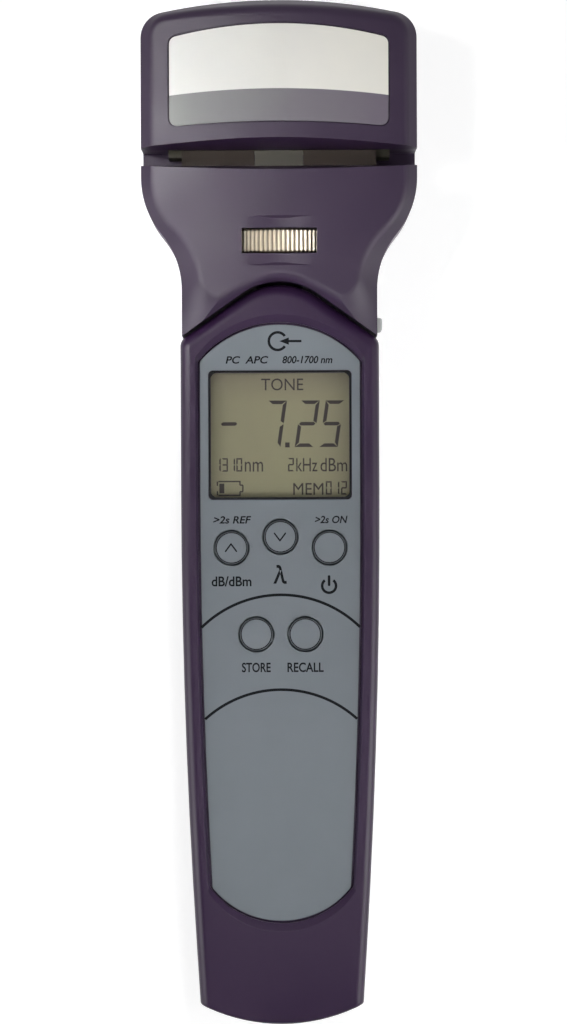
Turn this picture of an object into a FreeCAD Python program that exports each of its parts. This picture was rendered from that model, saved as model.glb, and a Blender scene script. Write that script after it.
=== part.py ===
import FreeCAD, Part
import math
import os

V = FreeCAD.Vector

# Optical fiber identifier, lying on its back. Millimetres.
# X runs across the display, Y from the foot of the handset to the head, Z out of the display face.
# The origin is the bottom centre of the whole object.

# Lengths along Y
HANDSET_LENGTH = 141.85
SEAM_GAP = 0.6
HEAD_LENGTH = 54.05

# Chevron seam between handset and head
SEAM_SLOPE = 35.0
SEAM_RADIUS = 12.5

# Handset body
HANDSET_WIDTH = 38.15
FOOT_WIDTH = 30.7
STRAIGHT_SIDE = 39.6
STRAIGHT_FOOT = 15.0
FOOT_RADIUS = 34.0
HANDSET_DEPTH = 29.0
HANDSET_WALL = 2.0
HANDSET_PARTING = 13.0
BACK_EDGE = 7.0
FRONT_EDGE = 1.9
SEAM_EDGE = 2.2
FOOT_EDGE = 0.7
SHADOW_LINE = 0.4

# Keypad panel in its bezel
RAIL_WIDTH = 3.75
PANEL_GAP = 0.5
PANEL_TOP_DROP = 7.65
PANEL_LENGTH = 114.4
PANEL_TOP_RADIUS = 20.2
PANEL_FOOT_RADIUS = 17.0
PANEL_CORNER = 1.2
PANEL_THICKNESS = 0.8
PANEL_RECESS = 1.0
BEZEL_SIDE = 0.45
BEZEL_END = 2.0
BEZEL_DEPTH = 0.8

# Display
WINDOW_WIDTH = 27.6
WINDOW_HEIGHT = 24.9
WINDOW_TOP_DROP = 8.7
WINDOW_CORNER = 0.9
WINDOW_LEDGE = 0.5
WINDOW_THICKNESS = 0.5
WINDOW_GAP = 0.1
LCD_MARGIN = 1.5
LCD_THICKNESS = 2.8
LCD_FRAME_WALL = 0.8
ZEBRA_WIDTH = 2.0

# Round keys: three in an arch, two below
KEY_DIAMETER = 6.3
KEY_GAP = 0.35
KEY_PITCH = 9.4
KEY_ARCH = 2.1
KEY_TOP_DROP = 7.1
KEY_ROW_DROP = 18.7
KEY_FLANGE = 0.9
KEY_FLANGE_THICKNESS = 0.9
KEY_TRAVEL = 0.6
KEY_CROWN = 0.15
KEY_CHAMFER = 0.1
KEY_REST_GAP = 0.2
MAT_THICKNESS = 0.6
MAT_MARGIN = 2.0

# Circuit board
PCB_THICKNESS = 1.6
PCB_CLEARANCE = 0.4
PCB_HEIGHT = 17.6
PCB_LENGTH = 86.0
PCB_NOTCH_GAP = 1.0

# Case screws, driven from the back through the board
SCREW_DIAMETER = 2.4
SCREW_HEAD_DIAMETER = 4.2
SCREW_HEAD_HEIGHT = 1.6
SCREW_CLEARANCE = 0.05
COUNTERBORE_CLEARANCE = 0.2
COUNTERBORE_DEPTH = 3.0
COLUMN_WALL = 1.2
SCREW_BITE = 4.0
CASE_SCREW_SPREAD = 22.0
CASE_SCREW_TOP_DROP = 11.45
CASE_SCREW_PITCH = 46.6

# Light port on the axis shared by the wheel, the screw and the light guide
PORT_AXIS_HEIGHT = 19.8
PORT_NOSE_DIAMETER = 9.0
PORT_NOSE_LENGTH = 3.2
PORT_BORE = 4.6
PORT_SEAT_DROP = 5.0
PORT_FLANGE_DIAMETER = 10.4
PORT_FLANGE_THICKNESS = 1.2
PORT_PAD_DIAMETER = 12.4
PORT_SLEEVE_DIAMETER = 8.4
PORT_SLEEVE_LENGTH = 5.4
SOCKET_CLEARANCE = 0.1
DETECTOR_CAN_DIAMETER = 4.7
DETECTOR_FLANGE_DIAMETER = 5.4
DETECTOR_CAN_LENGTH = 3.6
DETECTOR_FLANGE_THICKNESS = 1.0
DETECTOR_CLEARANCE = 0.05
LEAD_DIAMETER = 0.45
LEAD_PITCH = 1.27
LEAD_LENGTH = 2.4

# Two cells side by side behind a sliding door
CELL_DIAMETER = 10.5
CELL_LENGTH = 44.5
CELL_PIP_DIAMETER = 3.8
CELL_PIP_LENGTH = 0.8
CELL_GAP = 0.6
CELL_FOOT = 11.0
BAY_CLEARANCE = 0.3
BAY_WALL = 1.5
CONTACT_THICKNESS = 0.4
CONTACT_WIDTH = 7.0
CONTACT_SPRING = 1.2
DOOR_LENGTH = 62.0
DOOR_THICKNESS = 2.6
DOOR_GAP = 0.25
DOOR_TONGUE = 1.0
DOOR_TONGUE_THICKNESS = 1.0
DOOR_TONGUE_SETBACK = 18.0
DOOR_RAIL_WALL = 1.0
GRIP_RIDGES = 5
GRIP_PITCH = 2.0
GRIP_DEPTH = 0.4
GRIP_LENGTH = 12.0
GRIP_SETBACK = 6.0

# Head outline
CAP_WIDTH = 53.0
CAP_CROWN_RADIUS = 110.0
CAP_CORNER = 5.0
NECK_TOP = 20.0
NECK_FOOT = -1.55
WAIST_WIDTH = 37.5
HEAD_DEPTH = 32.5
HEAD_SIDE_DEPTH = 28.3
HEAD_CROWN_RADIUS = 140.0
HEAD_BACK_EDGE = 4.2
PLATEAU_INSET = 4.7
PLATEAU_TOP_INSET = 1.6
PLATEAU_WAIST_INSET = 5.1
PLATEAU_CORNER = 3.4
PLATEAU_NECK_SHIFT = 0.8
PLATEAU_FOOT = 1.45
PLATEAU_SLOPE = 15.0
PLATEAU_TOE = 3.8
PLATEAU_RISE = 0.5
CREASE_RADIUS = 2.2
SKIRT_OVERLAP = 2.2
HEAD_PARTING = 14.0
HEAD_FLOOR = 2.2
HEAD_SIDE_WALL = 3.4
HOLLOW_CORNER = 1.6
HEAD_FOOT_WALL = 2.2
HEAD_FRONT_WALL = 4.5

# Fibre slot across the head
SLOT_HEIGHT = 22.45
SLOT_GAP = 3.0
SLOT_FLARE_FOOT = 1.05
SLOT_FLARE_TOP = 2.05
SLOT_BACK_FLARE = 0.03
CHANNEL_FLOOR_DROP = 1.3
CHANNEL_CEILING_RISE = 0.25
CHANNEL_WALL = 2.0
SPINE_DEPTH = 9.5
LIP_BACK = 25.5

# Cap label inlay
LABEL_SIDE_MARGIN = 5.5
LABEL_TOP_DROP = 4.8
LABEL_CORNER_SAG = 2.65
LABEL_HEIGHT = 18.6
LABEL_FOOT_SAG = 1.0
LABEL_CORNER = 1.5
LABEL_THICKNESS = 0.5
LABEL_SINK = 0.1
LABEL_GAP = 0.25

# Thumb wheel, a knurled nut on the lead screw
WHEEL_HEIGHT = 7.75
WHEEL_DIAMETER = 26.0
WHEEL_WIDTH = 4.46
WHEEL_CHAMFER = 0.35
KNURL_PITCH = 0.885
KNURL_DEPTH = 0.32
WHEEL_SLOT_WIDTH = 14.4
WHEEL_SIDE_GAP = 0.2
WHEEL_RIM_GAP = 0.4
WASHER_THICKNESS = 0.4
WASHER_DIAMETER = 13.0
RUNNING_GAP = 0.04
SHAFT_CLEARANCE = 0.05

# Finger scoop round the wheel
SCOOP_HOLLOW_RADIUS = 25.6
SCOOP_BROW_RADIUS = 31.0
SCOOP_TURN = 5.8
SCOOP_RUN_OUT = 3.0
SCOOP_DEPTH = 0.42
SCOOP_LENGTH = 9.65
SCOOP_END_SLOPE = 1.5

# Clamp frame that carries the wheel
FRAME_PLATE = 1.5
FRAME_WEB = 1.6
FRAME_WEB_GAP = 0.5
FRAME_TOP_GAP = 0.2
FRAME_FOOT_WIDTH = 28.0
FRAME_PIN_EDGE = 0.5
FRAME_SIDE_GAP = 0.1
POST_DIAMETER = 5.0
POST_SPREAD = 18.0

# Lead screw, slider, guide pins and light guide
SCREW_OUTER = 8.0
SCREW_BORE = 3.6
CLAMP_TRAVEL = 3.5
SCREW_NOSE_GAP = 0.35
SLIDER_FOOT_GAP = 0.2
SLIDER_FOOT_WIDTH = 22.0
SLIDER_WIDTH = 37.5
SLIDER_STEP_DROP = 3.5
SLIDER_TOP_DROP = 0.65
SLIDER_BACK = 13.0
SLIDER_FRONT = 23.5
SHIELD_THICKNESS = 1.7
SHIELD_RISE = 2.95
SLIDER_GAP = 0.3
NOSE_RADIUS = 8.0
NOSE_RISE = 3.2
FIBRE_BEND_GAP = 1.5
GUIDE_WIDTH = 9.2
GUIDE_SIDE_GAP = 0.1
GUIDE_BACK = 15.0
GUIDE_ROOT_DROP = 2.0
GUIDE_ROD_DIAMETER = 3.2
GUIDE_ROD_END = 1.3
PIN_DIAMETER = 2.0
PIN_WHEEL_GAP = 0.4
PIN_SEAT = 2.5
PIN_REACH = 1.5

# Upper jaw, hung in the cap
JAW_END_GAP = 0.5
JAW_DROP = 1.6
JAW_BACK = 13.2
JAW_FRONT = 23.2
JAW_FLANGE = 1.3
JAW_FLANGE_THICKNESS = 2.1
JAW_GAP = 0.2
JAW_RIB_SPREAD = 24.0
JAW_RIB_THICKNESS = 1.6

# Head screws
CAP_SCREW_INSET = 7.5
CAP_SCREW_DROP = 12.2
NECK_SCREW_HEIGHT = 11.25

# Pale tab at the right end of the seam
LOCK_WIDTH = 2.6
LOCK_LENGTH = 8.0
LOCK_RISE = 0.9
LOCK_TIP_GAP = 0.9
LOCK_HEIGHT = 15.0
LOCK_TRAVEL = 1.5
LOCK_STEM = 1.4
LOCK_STEM_DEPTH = 1.5
LOCK_STEM_MARGIN = 2.0
LOCK_GAP = 0.1

# Places along Y that follow from the lengths
HANDSET_FOOT = -(HANDSET_LENGTH + SEAM_GAP + HEAD_LENGTH) / 2
HANDSET_APEX = HANDSET_FOOT + HANDSET_LENGTH
HEAD_APEX = HANDSET_APEX + SEAM_GAP
HEAD_TOP = HEAD_APEX + HEAD_LENGTH
SIDE_TANGENT = HANDSET_APEX - STRAIGHT_SIDE
PANEL_TOP = HANDSET_APEX - PANEL_TOP_DROP
PANEL_FOOT = PANEL_TOP - PANEL_LENGTH
WINDOW_TOP = PANEL_TOP - WINDOW_TOP_DROP
WINDOW_FOOT = WINDOW_TOP - WINDOW_HEIGHT
KEY_TOP_ROW = WINDOW_FOOT - KEY_TOP_DROP
KEY_LOW_ROW = KEY_TOP_ROW - KEY_ROW_DROP
PORT_SEAT = HANDSET_APEX - PORT_SEAT_DROP
PORT_NOSE_TOP = HANDSET_APEX + PORT_NOSE_LENGTH
SLEEVE_FOOT = PORT_SEAT - PORT_FLANGE_THICKNESS - PORT_SLEEVE_LENGTH
CELL_START = HANDSET_FOOT + CELL_FOOT
CELL_END = CELL_START + CELL_LENGTH
DOOR_TOP = HANDSET_FOOT + DOOR_LENGTH
WHEEL_Y = HEAD_APEX + WHEEL_HEIGHT
SLOT_FOOT = HEAD_APEX + SLOT_HEIGHT
SLOT_TOP = SLOT_FOOT + SLOT_GAP
CHANNEL_FLOOR = SLOT_FOOT - CHANNEL_FLOOR_DROP
CHANNEL_CEILING = SLOT_TOP + CHANNEL_CEILING_RISE
FRAME_GAP = WASHER_THICKNESS + 2 * RUNNING_GAP
PLATE_LOW = WHEEL_Y - WHEEL_WIDTH / 2 - FRAME_GAP
PLATE_HIGH = WHEEL_Y + WHEEL_WIDTH / 2 + FRAME_GAP
SLIDER_FOOT = PLATE_HIGH + FRAME_PLATE + CLAMP_TRAVEL + SLIDER_FOOT_GAP
SLIDER_TOP = SLOT_FOOT - SLIDER_TOP_DROP
SLIDER_STEP = SLIDER_TOP - SLIDER_STEP_DROP
SCREW_END = PORT_NOSE_TOP + CLAMP_TRAVEL + SCREW_NOSE_GAP

# Heights along Z that follow from the depths
PANEL_FACE = HANDSET_DEPTH - PANEL_RECESS
RECESS_FLOOR = PANEL_FACE - PANEL_THICKNESS
FRONT_WALL_INSIDE = RECESS_FLOOR - HANDSET_WALL
PCB_TOP = PCB_HEIGHT + PCB_THICKNESS
CELL_AXIS = DOOR_THICKNESS + BAY_CLEARANCE + CELL_DIAMETER / 2
HEAD_INSIDE = HEAD_DEPTH - HEAD_FRONT_WALL
FRAME_TOP = HEAD_INSIDE - FRAME_TOP_GAP

# Half widths used by several pieces
SIDE_DROP = (HANDSET_WIDTH - FOOT_WIDTH) / 2
SIDE_LENGTH = SIDE_TANGENT - HANDSET_FOOT
SIDE_RADIUS = (SIDE_LENGTH ** 2 + SIDE_DROP ** 2) / (2 * SIDE_DROP)
SIDE_CENTRE = (HANDSET_WIDTH / 2 - SIDE_RADIUS, SIDE_TANGENT)
SIDE_TURN = math.asin((SIDE_LENGTH - STRAIGHT_FOOT) / SIDE_RADIUS)
BAY_HALF = CELL_DIAMETER + CELL_GAP / 2 + BAY_CLEARANCE
CELL_OFFSET = (CELL_DIAMETER + CELL_GAP) / 2

# Widths in the head that follow from what lies between them
LABEL_WIDTH = CAP_WIDTH - 2 * LABEL_SIDE_MARGIN
JAW_WIDTH = CAP_WIDTH - 2 * (HEAD_SIDE_WALL + JAW_END_GAP + JAW_FLANGE)
CAP_SCREW_SPREAD = CAP_WIDTH - 2 * CAP_SCREW_INSET
PIN_SPREAD = WHEEL_DIAMETER + PIN_DIAMETER + 2 * PIN_WHEEL_GAP
FRAME_HEAD_WIDTH = PIN_SPREAD + PIN_DIAMETER + 2 * FRAME_PIN_EDGE
NECK_SCREW_SPREAD = FRAME_HEAD_WIDTH + SCREW_HEAD_DIAMETER + 2 * (COLUMN_WALL + FRAME_SIDE_GAP)

# Cutting tools run past the surfaces that they cut, and added ribs run into the wall that carries them
OVERCUT = 5.0
ROOT = 0.4

# Turn that takes a crown cylinder's own seam line away from the face, and the tolerance of comparisons
CROWN_SEAM_TURN = 97.0
TINY = 1e-6


def line(a, b, z):
    return Part.LineSegment(V(a[0], a[1], z), V(b[0], b[1], z)).toShape()


def arc(a, middle, b, z):
    return Part.Arc(V(a[0], a[1], z), V(middle[0], middle[1], z), V(b[0], b[1], z)).toShape()


def mirrored_wire(start, steps, z):
    """Close a right half, given from top to bottom, with its mirror image on the left."""
    right = []
    left = []
    here = start
    for step in steps:
        end = step[-1]
        if len(step) == 1:
            right.append(line(here, end, z))
            left.append(line((-end[0], end[1]), (-here[0], here[1]), z))
        else:
            middle = step[0]
            right.append(arc(here, middle, end, z))
            left.append(arc((-end[0], end[1]), (-middle[0], middle[1]), (-here[0], here[1]), z))
        here = end
    return Part.Wire(right + left[::-1])


def prism(wire, height):
    return Part.Face(wire).extrude(V(0, 0, height))


def block(x0, x1, y0, y1, z0, z1):
    return Part.makeBox(x1 - x0, y1 - y0, z1 - z0, V(x0, y0, z0))


def slab(width, y0, y1, z0, z1):
    return block(-width / 2, width / 2, y0, y1, z0, z1)


def rod_y(x, z, diameter, y0, y1):
    return Part.makeCylinder(diameter / 2, y1 - y0, V(x, y0, z), V(0, 1, 0))


def rod_z(x, y, diameter, z0, z1):
    return Part.makeCylinder(diameter / 2, z1 - z0, V(x, y, z0))


def port_rod(diameter, y0, y1):
    return rod_y(0, PORT_AXIS_HEIGHT, diameter, y0, y1)


def rounded_slab(width, y0, y1, z0, z1, corner):
    plate = slab(width, y0, y1, z0, z1)
    upright = [e for e in plate.Edges if e.BoundBox.ZLength > (z1 - z0) / 2]
    return plate.makeFillet(corner, upright)


def join(first, *others):
    return first.fuse(list(others)).removeSplitter()


def on_circle(centre, radius, p, q):
    """The point of a circle halfway between two of its points."""
    dx = (p[0] + q[0]) / 2 - centre[0]
    dy = (p[1] + q[1]) / 2 - centre[1]
    k = radius / math.hypot(dx, dy)
    return (centre[0] + dx * k, centre[1] + dy * k)


def corner_points(c1, r1, c2, r2, r):
    """Tangent points and middle of a corner arc at the lower crossing of two circles, inside both."""
    a = r1 - r
    b = r2 - r
    d = math.dist(c1, c2)
    ux = (c2[0] - c1[0]) / d
    uy = (c2[1] - c1[1]) / d
    along = (a * a - b * b + d * d) / (2 * d)
    off = math.sqrt(a * a - along * along)
    first = (c1[0] + along * ux - off * uy, c1[1] + along * uy + off * ux)
    second = (c1[0] + along * ux + off * uy, c1[1] + along * uy - off * ux)
    centre = first if first[1] < second[1] else second
    p = on_circle(c1, r1, centre, centre)
    q = on_circle(c2, r2, centre, centre)
    return p, on_circle(centre, r, p, q), q


def meet_circle(start, direction, centre, radius):
    """Where a line that starts inside a circle leaves it."""
    dx = start[0] - centre[0]
    dy = start[1] - centre[1]
    along = dx * direction[0] + dy * direction[1]
    reach = math.sqrt(along ** 2 - dx ** 2 - dy ** 2 + radius ** 2) - along
    return (start[0] + reach * direction[0], start[1] + reach * direction[1])


def arc_corner(centre, radius, half, r):
    """Centre of a corner arc of radius r inside an arch on the axis and the upright x = half."""
    x = half - r
    return (x, centre[1] + math.sqrt((radius - r) ** 2 - x ** 2))


def chevron(apex, half, slope, radius):
    """Right half of a chevron: its apex, the middle and end of its apex arc, and its outer end."""
    angle = math.radians(slope)
    bow = (radius * math.sin(angle / 2), apex - radius * (1 - math.cos(angle / 2)))
    tangent = (radius * math.sin(angle), apex - radius * (1 - math.cos(angle)))
    end = (half, tangent[1] - (half - tangent[0]) * math.tan(angle))
    return (0, apex), bow, tangent, end


def rim(faces):
    """Edges that belong to just one of the faces: the border of their union."""
    edges = [e for face in faces for e in face.Edges]
    return [e for e in edges if sum(e.isSame(other) for other in edges) == 1]


def is_cylinder(face, radius):
    return isinstance(face.Surface, Part.Cylinder) and abs(face.Surface.Radius - radius) < TINY


# Handset

def handset_wire(inset, z):
    half = HANDSET_WIDTH / 2 - inset
    apex, bow, tangent, shoulder = chevron(HANDSET_APEX - inset, half, SEAM_SLOPE, SEAM_RADIUS - inset)
    foot_centre = (0, HANDSET_FOOT + FOOT_RADIUS)
    side_start = (half, SIDE_TANGENT)
    radius = SIDE_RADIUS - inset
    across = math.cos(SIDE_TURN)
    down = math.sin(SIDE_TURN)
    bend = (SIDE_CENTRE[0] + radius * across, SIDE_CENTRE[1] - radius * down)
    corner = meet_circle(bend, (-down, -across), foot_centre, FOOT_RADIUS - inset)
    foot = (0, HANDSET_FOOT + inset)
    steps = [
        (bow, tangent),
        (shoulder,),
        (side_start,),
        (on_circle(SIDE_CENTRE, radius, side_start, bend), bend),
        (corner,),
        (on_circle(foot_centre, FOOT_RADIUS - inset, corner, foot), foot),
    ]
    return mirrored_wire(apex, steps, z)


def long_edges(shape, z):
    """The edges at height z that run along the body."""
    flat = [e for e in shape.Edges if abs(e.BoundBox.ZMin - z) < TINY and e.BoundBox.ZLength < TINY]
    return [e for e in flat if e.BoundBox.YLength > e.BoundBox.XLength]


def handset_body():
    body = prism(handset_wire(0, 0), HANDSET_DEPTH)
    body = body.makeFillet(BACK_EDGE, long_edges(body, 0))
    body = body.makeFillet(FRONT_EDGE, long_edges(body, HANDSET_DEPTH))
    foot = [f for f in body.Faces if is_cylinder(f, FOOT_RADIUS)]
    body = body.makeFillet(FOOT_EDGE, rim(foot))
    upright = [f for f in body.Faces if f.BoundBox.ZLength > HANDSET_DEPTH / 2]
    seam = [f for f in upright if f.CenterOfMass.y > SIDE_TANGENT and f.BoundBox.XLength > SEAM_EDGE]
    return body.makeFillet(SEAM_EDGE, rim(seam))


def handset_hollow():
    hollow = prism(handset_wire(HANDSET_WALL, HANDSET_WALL), FRONT_WALL_INSIDE - HANDSET_WALL)
    return hollow.makeFillet(BACK_EDGE - HANDSET_WALL, long_edges(hollow, HANDSET_WALL))


def panel_wire(outset, top, foot, z):
    """Outline of the panel, moved out by outset at the sides and closed by arcs at top and foot."""
    side_radius = SIDE_RADIUS - RAIL_WIDTH + outset
    half = HANDSET_WIDTH / 2 - RAIL_WIDTH + outset
    top_centre = (0, top - PANEL_TOP_RADIUS)
    foot_centre = (0, foot + PANEL_FOOT_RADIUS)
    shoulder = arc_corner(top_centre, PANEL_TOP_RADIUS, half, PANEL_CORNER)
    a = on_circle(top_centre, PANEL_TOP_RADIUS, shoulder, shoulder)
    b = (half, shoulder[1])
    bend = (half, SIDE_TANGENT)
    c, c_mid, d = corner_points(SIDE_CENTRE, side_radius, foot_centre, PANEL_FOOT_RADIUS, PANEL_CORNER)
    steps = [
        (on_circle(top_centre, PANEL_TOP_RADIUS, (0, top), a), a),
        (on_circle(shoulder, PANEL_CORNER, a, b), b),
        (bend,),
        (on_circle(SIDE_CENTRE, side_radius, bend, c), c),
        (c_mid, d),
        (on_circle(foot_centre, PANEL_FOOT_RADIUS, d, (0, foot)), (0, foot)),
    ]
    return mirrored_wire((0, top), steps, z)


def panel_recess():
    well = prism(panel_wire(PANEL_GAP, PANEL_TOP + PANEL_GAP, PANEL_FOOT - PANEL_GAP, RECESS_FLOOR),
                 HANDSET_DEPTH - BEZEL_DEPTH - RECESS_FLOOR)
    low = panel_wire(PANEL_GAP, PANEL_TOP + PANEL_GAP, PANEL_FOOT - PANEL_GAP, HANDSET_DEPTH - BEZEL_DEPTH)
    high = panel_wire(PANEL_GAP + BEZEL_SIDE, PANEL_TOP + BEZEL_END, PANEL_FOOT - BEZEL_END, HANDSET_DEPTH)
    bezel = Part.makeLoft([low, high], True, True)
    return well, bezel


def window_slab(inset, z0, z1):
    width = WINDOW_WIDTH - 2 * inset
    return rounded_slab(width, WINDOW_FOOT + inset, WINDOW_TOP - inset, z0, z1, WINDOW_CORNER)


def key_places():
    return {
        "key_up": (-KEY_PITCH, KEY_TOP_ROW - KEY_ARCH),
        "key_down": (0, KEY_TOP_ROW),
        "key_power": (KEY_PITCH, KEY_TOP_ROW - KEY_ARCH),
        "key_store": (-KEY_PITCH / 2, KEY_LOW_ROW),
        "key_recall": (KEY_PITCH / 2, KEY_LOW_ROW),
    }


def key_hole(x, y, z0, z1):
    return rod_z(x, y, KEY_DIAMETER + 2 * KEY_GAP, z0, z1)


def case_screw_places():
    top = HANDSET_APEX - CASE_SCREW_TOP_DROP
    return [(side * CASE_SCREW_SPREAD / 2, y) for y in (top, top - CASE_SCREW_PITCH) for side in (-1, 1)]


def handset_front_shell(body, hollow):
    front = body.common(slab(CAP_WIDTH, HANDSET_FOOT - OVERCUT, HEAD_TOP, HANDSET_PARTING, HEAD_DEPTH))
    front = front.cut(hollow)
    pad = port_rod(PORT_PAD_DIAMETER, PORT_SEAT, HANDSET_APEX - HANDSET_WALL)
    columns = []
    for x, y in case_screw_places():
        columns.append(rod_z(x, y, SCREW_DIAMETER + 2 * COLUMN_WALL, PCB_TOP, FRONT_WALL_INSIDE + ROOT))
    front = join(front, pad, *columns)
    well, bezel = panel_recess()
    cuts = [well, bezel, window_slab(WINDOW_LEDGE, FRONT_WALL_INSIDE - OVERCUT, HANDSET_DEPTH)]
    cuts.append(port_rod(PORT_NOSE_DIAMETER + 2 * SCREW_CLEARANCE, PORT_SEAT - OVERCUT, HEAD_TOP))
    for x, y in key_places().values():
        cuts.append(key_hole(x, y, FRONT_WALL_INSIDE - ROOT, HANDSET_DEPTH))
    for x, y in case_screw_places():
        cuts.append(rod_z(x, y, SCREW_DIAMETER + 2 * SCREW_CLEARANCE, PCB_TOP, PCB_TOP + SCREW_BITE))
    outside = prism(handset_wire(-OVERCUT, HANDSET_PARTING), SHADOW_LINE)
    core = prism(handset_wire(SHADOW_LINE, HANDSET_PARTING), SHADOW_LINE)
    cuts.append(outside.cut(core))
    return front.cut(cuts)


def handset_rear_shell(body, hollow):
    rear = body.common(slab(CAP_WIDTH, HANDSET_FOOT - OVERCUT, HEAD_TOP, 0, HANDSET_PARTING))
    rear = rear.cut(hollow)
    added = []
    for x, y in case_screw_places():
        added.append(rod_z(x, y, SCREW_HEAD_DIAMETER + 2 * COLUMN_WALL, HANDSET_WALL - ROOT, PCB_HEIGHT))
    bay_start = CELL_START - CONTACT_SPRING - CONTACT_THICKNESS
    bay_end = CELL_END + CELL_PIP_LENGTH + CONTACT_THICKNESS
    wall_top = CELL_AXIS + CELL_DIAMETER / 2
    bay_width = 2 * (BAY_HALF + DOOR_GAP + DOOR_TONGUE + DOOR_RAIL_WALL)
    added.append(slab(bay_width, bay_start - BAY_WALL, bay_start, DOOR_THICKNESS, wall_top))
    added.append(slab(bay_width, bay_end, bay_end + BAY_WALL, DOOR_THICKNESS, wall_top))
    for side in (-1, 1):
        inner = side * (BAY_HALF + DOOR_GAP)
        outer = side * bay_width / 2
        x0, x1 = min(inner, outer), max(inner, outer)
        added.append(block(x0, x1, bay_start - BAY_WALL, bay_end + BAY_WALL, HANDSET_WALL - ROOT,
                           DOOR_THICKNESS + DOOR_GAP + DOOR_RAIL_WALL))
    rear = join(rear, *added)
    cuts = [door_opening()]
    for x, y in case_screw_places():
        cuts.append(rod_z(x, y, SCREW_DIAMETER + 2 * SCREW_CLEARANCE, 0, PCB_HEIGHT))
        cuts.append(rod_z(x, y, SCREW_HEAD_DIAMETER + 2 * COUNTERBORE_CLEARANCE, 0, COUNTERBORE_DEPTH))
    return rear.cut(cuts)


def door_opening():
    hole = slab(2 * (BAY_HALF + DOOR_GAP), HANDSET_FOOT - OVERCUT, DOOR_TOP + DOOR_GAP,
                0, DOOR_THICKNESS + DOOR_GAP)
    groove_top = DOOR_THICKNESS + DOOR_GAP
    groove_foot = DOOR_THICKNESS - DOOR_TONGUE_THICKNESS - DOOR_GAP
    groove = slab(2 * (BAY_HALF + DOOR_TONGUE + DOOR_GAP), HANDSET_FOOT - OVERCUT,
                  DOOR_TOP - DOOR_TONGUE + DOOR_GAP, groove_foot, groove_top)
    return hole.fuse(groove)


def battery_door(body):
    plate = slab(2 * BAY_HALF, HANDSET_FOOT - OVERCUT, DOOR_TOP, 0, DOOR_THICKNESS).common(body)
    tongue = slab(2 * (BAY_HALF + DOOR_TONGUE), HANDSET_FOOT + DOOR_TONGUE_SETBACK, DOOR_TOP - DOOR_TONGUE,
                  DOOR_THICKNESS - DOOR_TONGUE_THICKNESS, DOOR_THICKNESS)
    door = join(plate, tongue)
    cuts = []
    for i in range(GRIP_RIDGES):
        y = DOOR_TOP - GRIP_SETBACK - i * GRIP_PITCH
        cuts.append(slab(GRIP_LENGTH, y - GRIP_PITCH / 2, y, 0, GRIP_DEPTH))
    return door.cut(cuts)


def keypad_panel():
    plate = prism(panel_wire(0, PANEL_TOP, PANEL_FOOT, RECESS_FLOOR), PANEL_THICKNESS)
    cuts = [window_slab(0, RECESS_FLOOR, PANEL_FACE)]
    for x, y in key_places().values():
        cuts.append(key_hole(x, y, RECESS_FLOOR, PANEL_FACE))
    return plate.cut(cuts)


def display_window():
    return window_slab(WINDOW_GAP, RECESS_FLOOR, RECESS_FLOOR + WINDOW_THICKNESS)


def lcd_size():
    return WINDOW_WIDTH + 2 * LCD_MARGIN, WINDOW_FOOT - LCD_MARGIN, WINDOW_TOP + LCD_MARGIN


def lcd_module():
    width, low, high = lcd_size()
    return slab(width, low, high, FRONT_WALL_INSIDE - LCD_THICKNESS, FRONT_WALL_INSIDE)


def lcd_frame():
    width, low, high = lcd_size()
    w = LCD_FRAME_WALL
    ring = slab(width + 2 * w, low - w, high + w, PCB_TOP, FRONT_WALL_INSIDE)
    return ring.cut(slab(width, low, high, PCB_TOP, FRONT_WALL_INSIDE))


def zebra_strips():
    width, low, high = lcd_size()
    under = FRONT_WALL_INSIDE - LCD_THICKNESS
    foot = slab(width, low, low + ZEBRA_WIDTH, PCB_TOP, under)
    top = slab(width, high - ZEBRA_WIDTH, high, PCB_TOP, under)
    return Part.makeCompound([foot, top])


def key(x, y):
    mat_top = PCB_TOP + MAT_THICKNESS
    foot = mat_top + KEY_REST_GAP + KEY_TRAVEL
    flange_top = FRONT_WALL_INSIDE - KEY_REST_GAP
    stem = rod_z(x, y, KEY_DIAMETER, foot, PANEL_FACE + KEY_CROWN)
    flange = rod_z(x, y, KEY_DIAMETER + 2 * KEY_FLANGE, flange_top - KEY_FLANGE_THICKNESS, flange_top)
    body = join(stem, flange)
    top = [e for e in body.Edges if e.BoundBox.ZMin > PANEL_FACE]
    return body.makeChamfer(KEY_CHAMFER, top)


def keypad_mat():
    half = KEY_PITCH + KEY_DIAMETER / 2 + MAT_MARGIN
    low = KEY_LOW_ROW - KEY_DIAMETER / 2 - MAT_MARGIN
    high = KEY_TOP_ROW + KEY_DIAMETER / 2
    mat = slab(2 * half, low, high, PCB_TOP, PCB_TOP + MAT_THICKNESS)
    return mat.cut([column_tool(x, y) for x, y in case_screw_places()])


def column_tool(x, y):
    """Room round a front column, for what lies on the board."""
    return rod_z(x, y, SCREW_DIAMETER + 2 * COLUMN_WALL + 2 * PCB_CLEARANCE, PCB_TOP, FRONT_WALL_INSIDE)


def main_pcb():
    board = prism(handset_wire(HANDSET_WALL + PCB_CLEARANCE, PCB_HEIGHT), PCB_THICKNESS)
    top = HANDSET_APEX - CASE_SCREW_TOP_DROP + SCREW_HEAD_DIAMETER / 2 + COLUMN_WALL
    board = board.common(slab(CAP_WIDTH, top - PCB_LENGTH, top, PCB_HEIGHT, PCB_TOP))
    notch_width = PORT_SLEEVE_DIAMETER + 2 * PCB_NOTCH_GAP
    cuts = [slab(notch_width, SLEEVE_FOOT - PCB_NOTCH_GAP, top, PCB_HEIGHT, PCB_TOP)]
    for x, y in case_screw_places():
        cuts.append(rod_z(x, y, SCREW_DIAMETER + 2 * SCREW_CLEARANCE, PCB_HEIGHT, PCB_TOP))
    return board.cut(cuts)


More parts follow.
